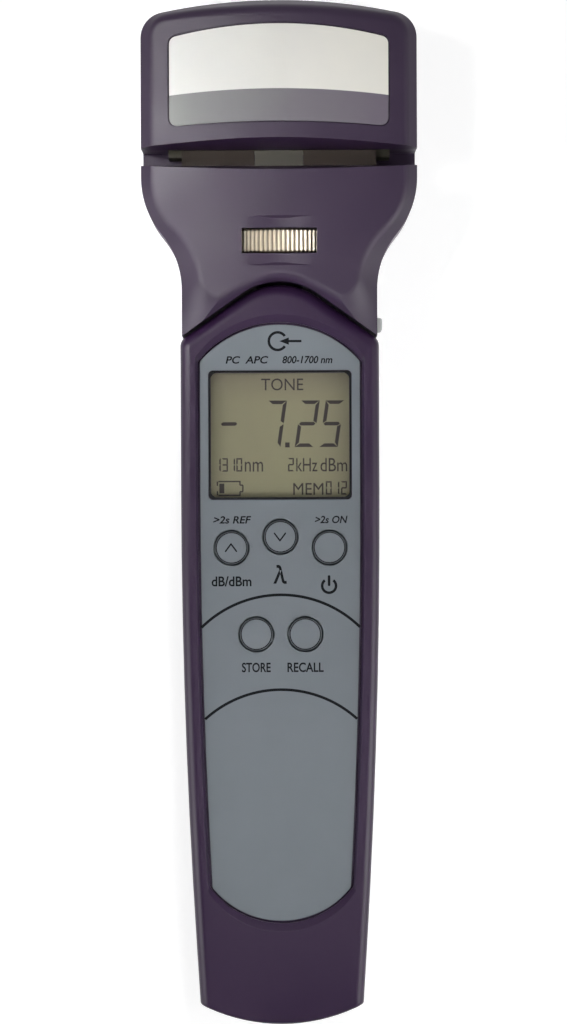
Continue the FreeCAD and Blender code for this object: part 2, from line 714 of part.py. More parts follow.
def port_bush():
    nose = port_rod(PORT_NOSE_DIAMETER, PORT_SEAT, PORT_NOSE_TOP)
    flange = port_rod(PORT_FLANGE_DIAMETER, PORT_SEAT - PORT_FLANGE_THICKNESS, PORT_SEAT)
    sleeve = port_rod(PORT_SLEEVE_DIAMETER, SLEEVE_FOOT, PORT_SEAT - PORT_FLANGE_THICKNESS)
    bush = join(nose, flange, sleeve)
    bore = port_rod(PORT_BORE, SLEEVE_FOOT, PORT_NOSE_TOP)
    pocket = port_rod(DETECTOR_FLANGE_DIAMETER + 2 * DETECTOR_CLEARANCE, SLEEVE_FOOT,
                      PORT_SEAT - PORT_FLANGE_THICKNESS)
    return bush.cut([bore, pocket])


def detector_can():
    shoulder = PORT_SEAT - PORT_FLANGE_THICKNESS
    foot = shoulder - DETECTOR_CAN_LENGTH - DETECTOR_FLANGE_THICKNESS
    can = port_rod(DETECTOR_CAN_DIAMETER, foot, shoulder)
    flange = port_rod(DETECTOR_FLANGE_DIAMETER, foot, foot + DETECTOR_FLANGE_THICKNESS)
    leads = []
    for side in (-1, 0, 1):
        leads.append(rod_y(side * LEAD_PITCH, PORT_AXIS_HEIGHT, LEAD_DIAMETER, foot - LEAD_LENGTH, foot))
    return join(can, flange, *leads)


def battery(side):
    x = side * CELL_OFFSET
    can = rod_y(x, CELL_AXIS, CELL_DIAMETER, CELL_START, CELL_END)
    if side < 0:
        pip = rod_y(x, CELL_AXIS, CELL_PIP_DIAMETER, CELL_END, CELL_END + CELL_PIP_LENGTH)
    else:
        pip = rod_y(x, CELL_AXIS, CELL_PIP_DIAMETER, CELL_START - CELL_PIP_LENGTH, CELL_START)
    return join(can, pip)


def bridge_contact():
    """Strip across the foot of both cells, with a domed spring under the flat end."""
    wall = CELL_START - CONTACT_SPRING - CONTACT_THICKNESS
    half = CELL_OFFSET + CONTACT_WIDTH / 2
    strip = block(-half, half, wall, wall + CONTACT_THICKNESS, CELL_AXIS - CONTACT_WIDTH / 2,
                  CELL_AXIS + CONTACT_WIDTH / 2)
    spring = rod_y(-CELL_OFFSET, CELL_AXIS, CELL_PIP_DIAMETER, wall + CONTACT_THICKNESS, CELL_START)
    return join(strip, spring)


def terminal_contacts():
    wall = CELL_END + CELL_PIP_LENGTH + CONTACT_THICKNESS
    plates = []
    for side in (-1, 1):
        x = side * CELL_OFFSET
        plate = block(x - CONTACT_WIDTH / 2, x + CONTACT_WIDTH / 2, wall - CONTACT_THICKNESS, wall,
                      CELL_AXIS - CONTACT_WIDTH / 2, CELL_AXIS + CONTACT_WIDTH / 2)
        if side > 0:
            spring = rod_y(x, CELL_AXIS, CELL_PIP_DIAMETER, CELL_END, wall - CONTACT_THICKNESS)
            plate = join(plate, spring)
        plates.append(plate)
    return Part.makeCompound(plates)


def screw(x, y, z, length):
    """Pan-head screw whose head rests on a counterbore floor at height z and points up."""
    head = rod_z(x, y, SCREW_HEAD_DIAMETER, z - SCREW_HEAD_HEIGHT, z)
    shank = rod_z(x, y, SCREW_DIAMETER, z, z + length)
    return join(head, shank)


def case_screws():
    length = PCB_TOP + SCREW_BITE - SCREW_CLEARANCE - COUNTERBORE_DEPTH
    return Part.makeCompound([screw(x, y, COUNTERBORE_DEPTH, length) for x, y in case_screw_places()])


# Head

def toe_points(centre, radius, tangent, tip, r):
    """Start, middle and end of an arc of radius r from a circle outside the outline to a chevron's flank."""
    length = math.dist(tangent, tip)
    along = ((tip[0] - tangent[0]) / length, (tip[1] - tangent[1]) / length)
    inward = (tangent[0] - r * along[1], tangent[1] + r * along[0])
    dx = inward[0] - centre[0]
    dy = inward[1] - centre[1]
    nearest = -(dx * along[0] + dy * along[1])
    reach = nearest - math.sqrt(nearest ** 2 - dx ** 2 - dy ** 2 + (radius + r) ** 2)
    bend = (inward[0] + reach * along[0], inward[1] + reach * along[1])
    start = on_circle(centre, radius, bend, bend)
    end = (tangent[0] + reach * along[0], tangent[1] + reach * along[1])
    return start, on_circle(bend, r, start, end), end


def head_wire(z, top, crown_radius, half, corner, neck_top, waist, neck_foot, foot, toe=0):
    """Outline of the head: crown arc, rounded corner, side, S-shaped neck and the chevron at the foot."""
    crown_centre = (0, top - crown_radius)
    shoulder = arc_corner(crown_centre, crown_radius, half, corner)
    a = on_circle(crown_centre, crown_radius, shoulder, shoulder)
    b = (half, shoulder[1])
    across = half - waist
    along = neck_top - neck_foot
    turn = 2 * math.atan2(across, along)
    radius = along / math.sin(turn) / 2
    middle = ((half + waist) / 2, (neck_top + neck_foot) / 2)
    upper = (half - radius * (1 - math.cos(turn / 2)), neck_top - radius * math.sin(turn / 2))
    lower_centre = (waist + radius, neck_foot)
    apex, bow, tangent, tip = foot
    if toe:
        side, bend, end = toe_points(lower_centre, radius, tangent, tip, toe)
        corner_step = (bend, end)
    else:
        side = (waist, neck_foot)
        corner_step = (tip,)
    steps = [
        (on_circle(crown_centre, crown_radius, (0, top), a), a),
        (on_circle(shoulder, corner, a, b), b),
        ((half, neck_top),),
        (upper, middle),
        (on_circle(lower_centre, radius, middle, side), side),
        corner_step,
        (tangent,),
        (bow, apex),
    ]
    return mirrored_wire((0, top), steps, z)


def head_outline(z, inset, corner, foot_shift):
    half = WAIST_WIDTH / 2 - inset
    foot = chevron(HEAD_APEX + foot_shift, half, SEAM_SLOPE, SEAM_RADIUS)
    return head_wire(z, HEAD_TOP - inset, CAP_CROWN_RADIUS - inset, CAP_WIDTH / 2 - inset, corner,
                     HEAD_APEX + NECK_TOP, half, HEAD_APEX + NECK_FOOT, foot)


def plateau_outline(z):
    half = WAIST_WIDTH / 2 - PLATEAU_WAIST_INSET
    foot = chevron(HEAD_APEX + PLATEAU_FOOT, half, PLATEAU_SLOPE, SEAM_RADIUS)
    neck_top = HEAD_APEX + NECK_TOP - PLATEAU_NECK_SHIFT
    neck_foot = HEAD_APEX + NECK_FOOT + PLATEAU_NECK_SHIFT
    return head_wire(z, HEAD_TOP - PLATEAU_TOP_INSET, CAP_CROWN_RADIUS - PLATEAU_TOP_INSET,
                     CAP_WIDTH / 2 - PLATEAU_INSET, PLATEAU_CORNER, neck_top, half, neck_foot, foot,
                     PLATEAU_TOE)


def crown_cylinder(radius):
    """Solid under a cylindrical crown concentric with the head's, its seam turned to the back."""
    axis = V(0, HANDSET_FOOT, HEAD_DEPTH - HEAD_CROWN_RADIUS)
    solid = Part.makeCylinder(radius, 2 * HEAD_TOP, axis, V(0, 1, 0))
    solid.rotate(axis, V(0, 1, 0), CROWN_SEAM_TURN)
    return solid


def head_body():
    base = prism(head_outline(0, 0, CAP_CORNER, -SKIRT_OVERLAP), HEAD_SIDE_DEPTH)
    back = []
    for edge in base.Edges:
        at_back = edge.BoundBox.ZMax < TINY
        at_foot = edge.CenterOfMass.y < HEAD_APEX and edge.BoundBox.XLength > edge.BoundBox.YLength
        if at_back and not at_foot:
            back.append(edge)
    base = base.makeFillet(HEAD_BACK_EDGE, back)
    outer = head_outline(HEAD_SIDE_DEPTH, 0, CAP_CORNER, -SKIRT_OVERLAP)
    inner = plateau_outline(HEAD_DEPTH + PLATEAU_RISE)
    front = Part.makeLoft([outer, inner], True, True)
    body = base.fuse(front).removeSplitter().common(crown_cylinder(HEAD_CROWN_RADIUS)).Solids[0]
    crown = [f for f in body.Faces if is_cylinder(f, HEAD_CROWN_RADIUS)]
    body = body.makeFillet(CREASE_RADIUS, rim(crown))
    return body.cut(below_seam(HEAD_APEX))


def below_seam(apex):
    """Everything below the chevron whose apex is given."""
    half = CAP_WIDTH / 2
    top, bow, tangent, end = chevron(apex, half, SEAM_SLOPE, SEAM_RADIUS)
    steps = [(bow, tangent), (end,), ((half, HANDSET_FOOT),), ((0, HANDSET_FOOT),)]
    return prism(mirrored_wire(top, steps, -OVERCUT), HEAD_DEPTH + 2 * OVERCUT)


def head_hollow():
    outline = head_outline(HEAD_FLOOR, HEAD_SIDE_WALL, HOLLOW_CORNER, HEAD_FOOT_WALL)
    return prism(outline, HEAD_INSIDE - HEAD_FLOOR)


def neck_hollow():
    room = slab(2 * CAP_WIDTH, HANDSET_FOOT, CHANNEL_FLOOR - CHANNEL_WALL, 0, HEAD_DEPTH)
    return head_hollow().common(room)


def cap_hollow():
    return head_hollow().common(slab(2 * CAP_WIDTH, CHANNEL_CEILING + CHANNEL_WALL, HEAD_TOP, 0, HEAD_DEPTH))


def lens_wire(z, foot_flare, top_flare):
    """Slot outline whose long sides bow out by the flares at the middle."""
    half = CAP_WIDTH / 2 + OVERCUT
    top = (0, SLOT_TOP + top_flare)
    foot = (0, SLOT_FOOT - foot_flare)
    top_radius = (half ** 2 + top_flare ** 2) / (2 * top_flare)
    foot_radius = (half ** 2 + foot_flare ** 2) / (2 * foot_flare)
    steps = [
        (on_circle((0, top[1] - top_radius), top_radius, top, (half, SLOT_TOP)), (half, SLOT_TOP)),
        ((half, SLOT_FOOT),),
        (on_circle((0, foot[1] + foot_radius), foot_radius, (half, SLOT_FOOT), foot), foot),
    ]
    return mirrored_wire(top, steps, z)


def slot_tool():
    """The channel behind the lips and the lead-in that flares out to the front face."""
    channel = slab(2 * CAP_WIDTH, CHANNEL_FLOOR, CHANNEL_CEILING, SPINE_DEPTH, LIP_BACK)
    back = lens_wire(LIP_BACK, SLOT_BACK_FLARE, SLOT_BACK_FLARE)
    front = lens_wire(HEAD_DEPTH, SLOT_FLARE_FOOT, SLOT_FLARE_TOP)
    return channel.fuse(Part.makeLoft([back, front], True, True))


def slider_window():
    width = SLIDER_WIDTH + 2 * SLIDER_GAP
    return slab(width, CHANNEL_FLOOR - CHANNEL_WALL, CHANNEL_FLOOR, SLIDER_BACK - SLIDER_GAP, LIP_BACK)


def jaw_window():
    width = JAW_WIDTH + 2 * JAW_GAP
    seat = CHANNEL_CEILING + CHANNEL_WALL
    return slab(width, CHANNEL_CEILING, seat, JAW_BACK - JAW_GAP, JAW_FRONT + JAW_GAP)


def scoop_tool():
    """Shallow trough over the wheel: it runs out flat at its sides and climbs on ramps at its ends."""
    turn = math.radians(SCOOP_TURN)
    run_out = math.radians(SCOOP_RUN_OUT)
    floor = HEAD_DEPTH - SCOOP_DEPTH
    top = HEAD_DEPTH + OVERCUT
    hollow = (0, floor + SCOOP_HOLLOW_RADIUS)
    both = SCOOP_HOLLOW_RADIUS + SCOOP_BROW_RADIUS
    brow = (both * math.sin(turn), hollow[1] - both * math.cos(turn))
    change = on_circle(hollow, SCOOP_HOLLOW_RADIUS, brow, brow)
    side = (brow[0] + SCOOP_BROW_RADIUS * math.sin(run_out), brow[1] + SCOOP_BROW_RADIUS * math.cos(run_out))
    steps = [
        ((side[0], top),),
        (side,),
        (on_circle(brow, SCOOP_BROW_RADIUS, side, change), change),
        (on_circle(hollow, SCOOP_HOLLOW_RADIUS, change, (0, floor)), (0, floor)),
    ]
    trough = prism(mirrored_wire((0, top), steps, -WHEEL_Y - SCOOP_LENGTH), 2 * SCOOP_LENGTH)
    trough.rotate(V(0, 0, 0), V(1, 0, 0), 90)
    low = SCOOP_LENGTH / 2 - SCOOP_END_SLOPE * (SCOOP_DEPTH + ROOT)
    high = SCOOP_LENGTH / 2 + SCOOP_END_SLOPE * OVERCUT
    ramps = [
        V(-side[0], WHEEL_Y - high, top),
        V(-side[0], WHEEL_Y - low, floor - ROOT),
        V(-side[0], WHEEL_Y + low, floor - ROOT),
        V(-side[0], WHEEL_Y + high, top),
    ]
    wedge = Part.Face(Part.makePolygon(ramps + ramps[:1])).extrude(V(2 * side[0], 0, 0))
    return trough.common(wedge)


def wheel_room():
    y0 = WHEEL_Y - WHEEL_WIDTH / 2 - WHEEL_SIDE_GAP
    y1 = WHEEL_Y + WHEEL_WIDTH / 2 + WHEEL_SIDE_GAP
    slot = slab(WHEEL_SLOT_WIDTH, y0, y1, HEAD_INSIDE, HEAD_DEPTH + OVERCUT)
    return slot.fuse(port_rod(WHEEL_DIAMETER + 2 * WHEEL_RIM_GAP, y0, y1))


def head_screw_places():
    cap = [(side * CAP_SCREW_SPREAD / 2, HEAD_TOP - CAP_SCREW_DROP) for side in (-1, 1)]
    neck = [(side * NECK_SCREW_SPREAD / 2, HEAD_APEX + NECK_SCREW_HEIGHT) for side in (-1, 1)]
    return cap, neck


def head_column(x, y):
    return rod_z(x, y, SCREW_DIAMETER + 2 * COLUMN_WALL, HEAD_PARTING, HEAD_INSIDE + ROOT)


def head_bite(x, y):
    return rod_z(x, y, SCREW_DIAMETER + 2 * SCREW_CLEARANCE, HEAD_PARTING, HEAD_PARTING + SCREW_BITE)


def head_front(body, y0, y1):
    return body.common(slab(2 * CAP_WIDTH, y0, y1, HEAD_PARTING, HEAD_DEPTH + OVERCUT))


def neck_front_cover(body):
    cover = head_front(body, HANDSET_FOOT, (SLOT_FOOT + SLOT_TOP) / 2).cut(neck_hollow())
    places = head_screw_places()[1]
    cover = join(cover, *[head_column(x, y) for x, y in places])
    socket = PORT_NOSE_DIAMETER + 2 * SOCKET_CLEARANCE
    cuts = [slot_tool(), slider_window(), wheel_room(), scoop_tool(), lock_pocket()]
    cuts.append(port_rod(socket, HANDSET_APEX - OVERCUT, PLATE_LOW - FRAME_PLATE))
    cuts.extend(head_bite(x, y) for x, y in places)
    return cover.cut(cuts)


def cap_front_cover(body):
    cover = head_front(body, (SLOT_FOOT + SLOT_TOP) / 2, HEAD_TOP + OVERCUT).cut(cap_hollow())
    places = head_screw_places()[0]
    ribs = []
    flange_top = CHANNEL_CEILING + CHANNEL_WALL + JAW_FLANGE_THICKNESS
    for side in (-1, 1):
        x = side * JAW_RIB_SPREAD / 2
        ribs.append(block(x - JAW_RIB_THICKNESS / 2, x + JAW_RIB_THICKNESS / 2, flange_top,
                          HEAD_TOP - HEAD_SIDE_WALL - CAP_CORNER, HEAD_PARTING, HEAD_INSIDE))
    cover = join(cover, *[head_column(x, y) for x, y in places], *ribs)
    cuts = [slot_tool(), jaw_window()]
    recess = prism(label_wire(HEAD_INSIDE, LABEL_GAP), HEAD_FRONT_WALL + OVERCUT)
    cuts.append(recess.cut(crown_cylinder(HEAD_CROWN_RADIUS - LABEL_SINK - LABEL_THICKNESS)))
    cuts.extend(head_bite(x, y) for x, y in places)
    return cover.cut(cuts)


def head_rear_shell(body):
    shell = body.common(slab(2 * CAP_WIDTH, HANDSET_FOOT, HEAD_TOP + OVERCUT, 0, HEAD_PARTING))
    shell = shell.cut([neck_hollow(), cap_hollow()])
    cap, neck = head_screw_places()
    added = []
    for x, y in cap + neck:
        added.append(rod_z(x, y, SCREW_HEAD_DIAMETER + 2 * COLUMN_WALL, HEAD_FLOOR - ROOT, HEAD_PARTING))
    web_foot = PORT_AXIS_HEIGHT - WHEEL_DIAMETER / 2 - FRAME_WEB_GAP - FRAME_WEB
    for x in (-POST_SPREAD / 2, POST_SPREAD / 2):
        added.append(rod_z(x, WHEEL_Y, POST_DIAMETER, HEAD_FLOOR - ROOT, web_foot))
    shell = join(shell, *added)
    cuts = [slot_tool(), slider_window(), jaw_window()]
    for x, y in cap + neck:
        cuts.append(rod_z(x, y, SCREW_DIAMETER + 2 * SCREW_CLEARANCE, 0, HEAD_PARTING))
        cuts.append(rod_z(x, y, SCREW_HEAD_DIAMETER + 2 * COUNTERBORE_CLEARANCE, 0, COUNTERBORE_DEPTH))
    return shell.cut(cuts)


def label_wire(z, outset):
    """Outline of the cap label: arched top, gently arched foot, rounded corners."""
    half = LABEL_WIDTH / 2 + outset
    top = HEAD_TOP - LABEL_TOP_DROP + outset
    foot = HEAD_TOP - LABEL_TOP_DROP - LABEL_HEIGHT - outset
    r = LABEL_CORNER + outset
    top_radius = (half ** 2 + LABEL_CORNER_SAG ** 2) / (2 * LABEL_CORNER_SAG)
    top_centre = (0, top - top_radius)
    cx, cy = arc_corner(top_centre, top_radius, half, r)
    a = on_circle(top_centre, top_radius, (cx, cy), (cx, cy))
    foot_radius = (half ** 2 + LABEL_FOOT_SAG ** 2) / (2 * LABEL_FOOT_SAG)
    foot_centre = (0, foot - foot_radius)
    fy = foot_centre[1] + math.sqrt((foot_radius + r) ** 2 - cx ** 2)
    d = on_circle(foot_centre, foot_radius, (cx, fy), (cx, fy))
    steps = [
        (on_circle(top_centre, top_radius, (0, top), a), a),
        (on_circle((cx, cy), r, a, (half, cy)), (half, cy)),
        ((half, fy),),
        (on_circle((cx, fy), r, (half, fy), d), d),
        (on_circle(foot_centre, foot_radius, d, (0, foot)), (0, foot)),
    ]
    return mirrored_wire((0, top), steps, z)


def cap_label():
    plate = prism(label_wire(HEAD_INSIDE, 0), HEAD_FRONT_WALL + OVERCUT)
    top = crown_cylinder(HEAD_CROWN_RADIUS - LABEL_SINK)
    return plate.common(top).cut(crown_cylinder(HEAD_CROWN_RADIUS - LABEL_SINK - LABEL_THICKNESS)).Solids[0]


def knurl_wire(y, outer):
    teeth = round(math.pi * WHEEL_DIAMETER / KNURL_PITCH)
    points = []
    for i in range(2 * teeth):
        radius = outer - KNURL_DEPTH * (i % 2)
        angle = math.pi * i / teeth
        points.append(V(radius * math.sin(angle), y, PORT_AXIS_HEIGHT + radius * math.cos(angle)))
    return Part.makePolygon(points + points[:1])


def thumb_wheel():
    y0 = WHEEL_Y - WHEEL_WIDTH / 2
    y1 = WHEEL_Y + WHEEL_WIDTH / 2
    full = WHEEL_DIAMETER / 2
    low = full - WHEEL_CHAMFER
    rings = [(y0, low), (y0 + WHEEL_CHAMFER, full), (y1 - WHEEL_CHAMFER, full), (y1, low)]
    wheel = Part.makeLoft([knurl_wire(y, outer) for y, outer in rings], True, True)
    return wheel.cut(port_rod(SCREW_OUTER + 2 * SHAFT_CLEARANCE, y0, y1))


def thrust_washers():
    rings = []
    for plate_face, side in ((PLATE_LOW, 1), (PLATE_HIGH, -1)):
        far = plate_face + side * WASHER_THICKNESS
        y0, y1 = min(plate_face, far), max(plate_face, far)
        ring = port_rod(WASHER_DIAMETER, y0, y1)
        rings.append(ring.cut(port_rod(SCREW_OUTER + 2 * SHAFT_CLEARANCE, y0, y1)))
    return Part.makeCompound(rings)


def clamp_frame():
    web_top = PORT_AXIS_HEIGHT - WHEEL_DIAMETER / 2 - FRAME_WEB_GAP
    web_foot = web_top - FRAME_WEB
    low = slab(FRAME_FOOT_WIDTH, PLATE_LOW - FRAME_PLATE, PLATE_LOW, web_foot, FRAME_TOP)
    high = slab(FRAME_HEAD_WIDTH, PLATE_HIGH, PLATE_HIGH + FRAME_PLATE, web_foot, FRAME_TOP)
    web = slab(FRAME_FOOT_WIDTH, PLATE_LOW, PLATE_HIGH, web_foot, web_top)
    frame = join(low, web, high)
    cuts = [port_rod(SCREW_OUTER + 2 * SHAFT_CLEARANCE, PLATE_LOW - FRAME_PLATE, PLATE_HIGH + FRAME_PLATE)]
    for x in (-PIN_SPREAD / 2, PIN_SPREAD / 2):
        cuts.append(rod_y(x, PORT_AXIS_HEIGHT, PIN_DIAMETER + 2 * SHAFT_CLEARANCE, PLATE_HIGH,
                          PLATE_HIGH + FRAME_PLATE))
    return frame.cut(cuts)


def lead_screw():
    tube = port_rod(SCREW_OUTER, SCREW_END, SLIDER_STEP)
    return tube.cut(port_rod(SCREW_BORE, SCREW_END, SLIDER_STEP))


def nose_centre():
    return SLIDER_TOP + NOSE_RISE - NOSE_RADIUS


def nose_solid(radius, z0, z1):
    return rod_z(0, nose_centre(), 2 * radius, z0, z1)


def clamp_slider():
    foot = slab(SLIDER_FOOT_WIDTH, SLIDER_FOOT, SLIDER_STEP, SLIDER_BACK, SLIDER_FRONT)
    jaw = slab(SLIDER_WIDTH, SLIDER_STEP, SLIDER_TOP, SLIDER_BACK, SLIDER_FRONT)
    nose = nose_solid(NOSE_RADIUS, SLIDER_BACK, SLIDER_FRONT)
    nose = nose.common(slab(SLIDER_WIDTH, SLIDER_STEP, SLOT_TOP, SLIDER_BACK, SLIDER_FRONT))
    shield_front = SLIDER_FRONT + SHIELD_THICKNESS
    shield = slab(SLIDER_WIDTH, SLIDER_STEP, SLOT_FOOT + SHIELD_RISE, SLIDER_FRONT, shield_front)
    slider = join(foot, jaw, nose, shield)
    root = SLIDER_TOP - GUIDE_ROOT_DROP
    pocket = slab(GUIDE_WIDTH + 2 * GUIDE_SIDE_GAP, root, SLOT_TOP + OVERCUT, GUIDE_BACK - GUIDE_SIDE_GAP,
                  SLIDER_FRONT + OVERCUT)
    cuts = [pocket, port_rod(SCREW_OUTER + 2 * SCREW_CLEARANCE, SLIDER_FOOT, SLIDER_STEP)]
    cuts.append(port_rod(GUIDE_ROD_DIAMETER + 2 * GUIDE_SIDE_GAP, SLIDER_STEP, root))
    for x in (-PIN_SPREAD / 2, PIN_SPREAD / 2):
        cuts.append(rod_y(x, PORT_AXIS_HEIGHT, PIN_DIAMETER + 2 * SCREW_CLEARANCE, SLIDER_STEP,
                          SLIDER_STEP + PIN_SEAT))
    return slider.cut(cuts)


def light_guide():
    root = SLIDER_TOP - GUIDE_ROOT_DROP
    front = SLIDER_FRONT + SHIELD_THICKNESS
    head = slab(GUIDE_WIDTH, root, SLOT_TOP + OVERCUT, GUIDE_BACK, front)
    head = head.common(nose_solid(NOSE_RADIUS, GUIDE_BACK, front))
    face = slab(GUIDE_WIDTH, root, SLOT_FOOT + SHIELD_RISE, SLIDER_FRONT, front)
    rod = port_rod(GUIDE_ROD_DIAMETER, PORT_NOSE_TOP + GUIDE_ROD_END, root)
    return join(head, face, rod)


def guide_pins():
    pins = []
    for x in (-PIN_SPREAD / 2, PIN_SPREAD / 2):
        pins.append(rod_y(x, PORT_AXIS_HEIGHT, PIN_DIAMETER, PLATE_HIGH - PIN_REACH, SLIDER_STEP + PIN_SEAT))
    return Part.makeCompound(pins)


def upper_jaw():
    seat = CHANNEL_CEILING + CHANNEL_WALL
    nose = slab(JAW_WIDTH, SLOT_FOOT + JAW_DROP, seat, JAW_BACK, JAW_FRONT)
    flange = slab(JAW_WIDTH + 2 * JAW_FLANGE, seat, seat + JAW_FLANGE_THICKNESS, JAW_BACK, JAW_FRONT)
    return join(nose, flange).cut(nose_solid(NOSE_RADIUS + FIBRE_BEND_GAP, JAW_BACK, JAW_FRONT))


def head_screws():
    cap, neck = head_screw_places()
    length = HEAD_PARTING + SCREW_BITE - SCREW_CLEARANCE - COUNTERBORE_DEPTH
    return Part.makeCompound([screw(x, y, COUNTERBORE_DEPTH, length) for x, y in cap + neck])


def lock_place():
    """Right-hand side of the head at the seam: the tab's foot and the side face."""
    side = WAIST_WIDTH / 2
    tip = chevron(HEAD_APEX, side, SEAM_SLOPE, SEAM_RADIUS)[-1]
    return side, tip[1] + LOCK_TIP_GAP


def lock_pocket():
    side, foot = lock_place()
    stem_foot = foot + LOCK_WIDTH - LOCK_STEM
    return block(side - LOCK_STEM_DEPTH - LOCK_GAP, side + OVERCUT, stem_foot - LOCK_GAP,
                 foot + LOCK_WIDTH + LOCK_TRAVEL + LOCK_GAP, LOCK_HEIGHT + LOCK_STEM_MARGIN - LOCK_GAP,
                 LOCK_HEIGHT + LOCK_LENGTH - LOCK_STEM_MARGIN + LOCK_GAP)


def lock_slide():
    side, foot = lock_place()
    nub = block(side + LOCK_GAP, side + LOCK_GAP + LOCK_RISE, foot, foot + LOCK_WIDTH, LOCK_HEIGHT,
                LOCK_HEIGHT + LOCK_LENGTH)
    outer = [e for e in nub.Edges if e.CenterOfMass.x > side + LOCK_RISE]
    nub = nub.makeFillet(LOCK_RISE / 2, outer)
    stem = block(side - LOCK_STEM_DEPTH, side + LOCK_GAP, foot + LOCK_WIDTH - LOCK_STEM, foot + LOCK_WIDTH,
                 LOCK_HEIGHT + LOCK_STEM_MARGIN, LOCK_HEIGHT + LOCK_LENGTH - LOCK_STEM_MARGIN)
    return join(nub, stem)


def build():
    body = handset_body()
    hollow = handset_hollow()
    head = head_body()
    nodes = {
        "handset_front_shell": handset_front_shell(body, hollow),
        "handset_rear_shell": handset_rear_shell(body, hollow),
        "battery_door": battery_door(body),
        "keypad_panel": keypad_panel(),
        "display_window": display_window(),
        "lcd_module": lcd_module(),
        "lcd_frame": lcd_frame(),
        "zebra_strips": zebra_strips(),
        "keypad_mat": keypad_mat(),
        "main_pcb": main_pcb(),
        "port_bush": port_bush(),
        "detector_can": detector_can(),
        "battery_left": battery(-1),
        "battery_right": battery(1),
        "bridge_contact": bridge_contact(),
        "terminal_contacts": terminal_contacts(),
        "case_screws": case_screws(),
        "head_rear_shell": head_rear_shell(head),
        "neck_front_cover": neck_front_cover(head),
        "cap_front_cover": cap_front_cover(head),
        "cap_label": cap_label(),
        "thumb_wheel": thumb_wheel(),
        "thrust_washers": thrust_washers(),
        "clamp_frame": clamp_frame(),
        "lead_screw": lead_screw(),
        "clamp_slider": clamp_slider(),
        "light_guide": light_guide(),
        "guide_pins": guide_pins(),
        "upper_jaw": upper_jaw(),
        "head_screws": head_screws(),
        "lock_slide": lock_slide(),
    }
    for name, (x, y) in key_places().items():
        nodes[name] = key(x, y)
    return nodes


os.makedirs("parts", exist_ok=True)
for name, shape in build().items():
    shape.exportStep(f"parts/{name}.step")
    print(name, len(shape.Solids), shape.isValid(), round(shape.Volume, 1))
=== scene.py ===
import math

import bpy
from mathutils import Matrix, Vector


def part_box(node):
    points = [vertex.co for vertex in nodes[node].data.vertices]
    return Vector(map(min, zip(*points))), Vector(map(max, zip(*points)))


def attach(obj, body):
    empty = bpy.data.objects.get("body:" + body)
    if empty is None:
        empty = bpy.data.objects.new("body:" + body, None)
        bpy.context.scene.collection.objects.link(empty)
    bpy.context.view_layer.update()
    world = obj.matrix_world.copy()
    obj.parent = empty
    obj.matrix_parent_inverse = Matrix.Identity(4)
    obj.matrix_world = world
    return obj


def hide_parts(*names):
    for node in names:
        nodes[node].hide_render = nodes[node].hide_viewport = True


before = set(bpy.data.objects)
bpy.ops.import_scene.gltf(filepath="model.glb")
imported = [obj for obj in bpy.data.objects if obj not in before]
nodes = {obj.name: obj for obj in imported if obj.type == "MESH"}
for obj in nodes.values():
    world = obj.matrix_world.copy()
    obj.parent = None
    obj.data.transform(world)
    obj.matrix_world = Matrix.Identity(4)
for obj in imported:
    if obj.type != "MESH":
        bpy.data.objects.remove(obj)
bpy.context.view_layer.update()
bpy.ops.object.select_all(action="DESELECT")


# Rear shell of the handset and its battery door. Both are injection-moulded in dark plum ABS
# with a fine spark-eroded grain. The door slides on two side tongues behind rails of the shell,
# and grooves near its top give the thumb a grip.

MM = 0.001
PLUM = (0.023, 0.0082, 0.035, 1.0)
PLUM_PATCH = (0.027, 0.0098, 0.039, 1.0)
PLUM_RUBBED = (0.075, 0.052, 0.088, 1.0)
GRAIN_HEIGHT = 0.02 * MM
FLOW_PATCHES = 90.0


def shader_node(tree, kind, feeds=None, **settings):
    """Add a node, set it, and feed its inputs with values or with other nodes' outputs."""
    made = tree.nodes.new(kind)
    for name, value in settings.items():
        setattr(made, name, value)
    for name, value in (feeds or {}).items():
        if isinstance(value, bpy.types.NodeSocket):
            tree.links.new(value, made.inputs[name])
        else:
            made.inputs[name].default_value = value
    return made


def start_group(name, takes, gives):
    """Open a shader node group and hand back its input sockets and its output node."""
    group = bpy.data.node_groups.new(name, "ShaderNodeTree")
    for socket, kind in takes.items():
        group.interface.new_socket(name=socket, in_out="INPUT", socket_type=kind)
    for socket, kind in gives.items():
        group.interface.new_socket(name=socket, in_out="OUTPUT", socket_type=kind)
    return group, shader_node(group, "NodeGroupInput").outputs, shader_node(group, "NodeGroupOutput")


def start_finish(name):
    """Open an empty material and hand back its tree and the Object coordinates in it."""
    finish = bpy.data.materials.new(name)
    finish.use_nodes = True
    finish.node_tree.nodes.clear()
    place = shader_node(finish.node_tree, "ShaderNodeTexCoord").outputs["Object"]
    return finish, finish.node_tree, place


def close_finish(tree, feeds):
    """Close a material with its Principled shader."""
    shader = shader_node(tree, "ShaderNodeBsdfPrincipled", feeds)
    shader_node(tree, "ShaderNodeOutputMaterial", {"Surface": shader.outputs[0]})


def blend_colour(tree, share, first, second):
    """The first colour where share is 0 and the second where it is 1."""
    made = shader_node(tree, "ShaderNodeMix", {0: share, 6: first, 7: second}, data_type="RGBA")
    return made.outputs[2]


def spread(tree, value, low, high, start=0.0, end=1.0):
    """A value that runs from start to end, stretched to run from low to high."""
    feeds = {"Value": value, "From Min": start, "From Max": end, "To Min": low, "To Max": high}
    return shader_node(tree, "ShaderNodeMapRange", feeds).outputs[0]


def noise(tree, place, scale, detail, roughness=0.5):
    """A noise pattern on a place."""
    feeds = {"Vector": place, "Scale": scale, "Detail": detail, "Roughness": roughness}
    return shader_node(tree, "ShaderNodeTexNoise", feeds).outputs[0]


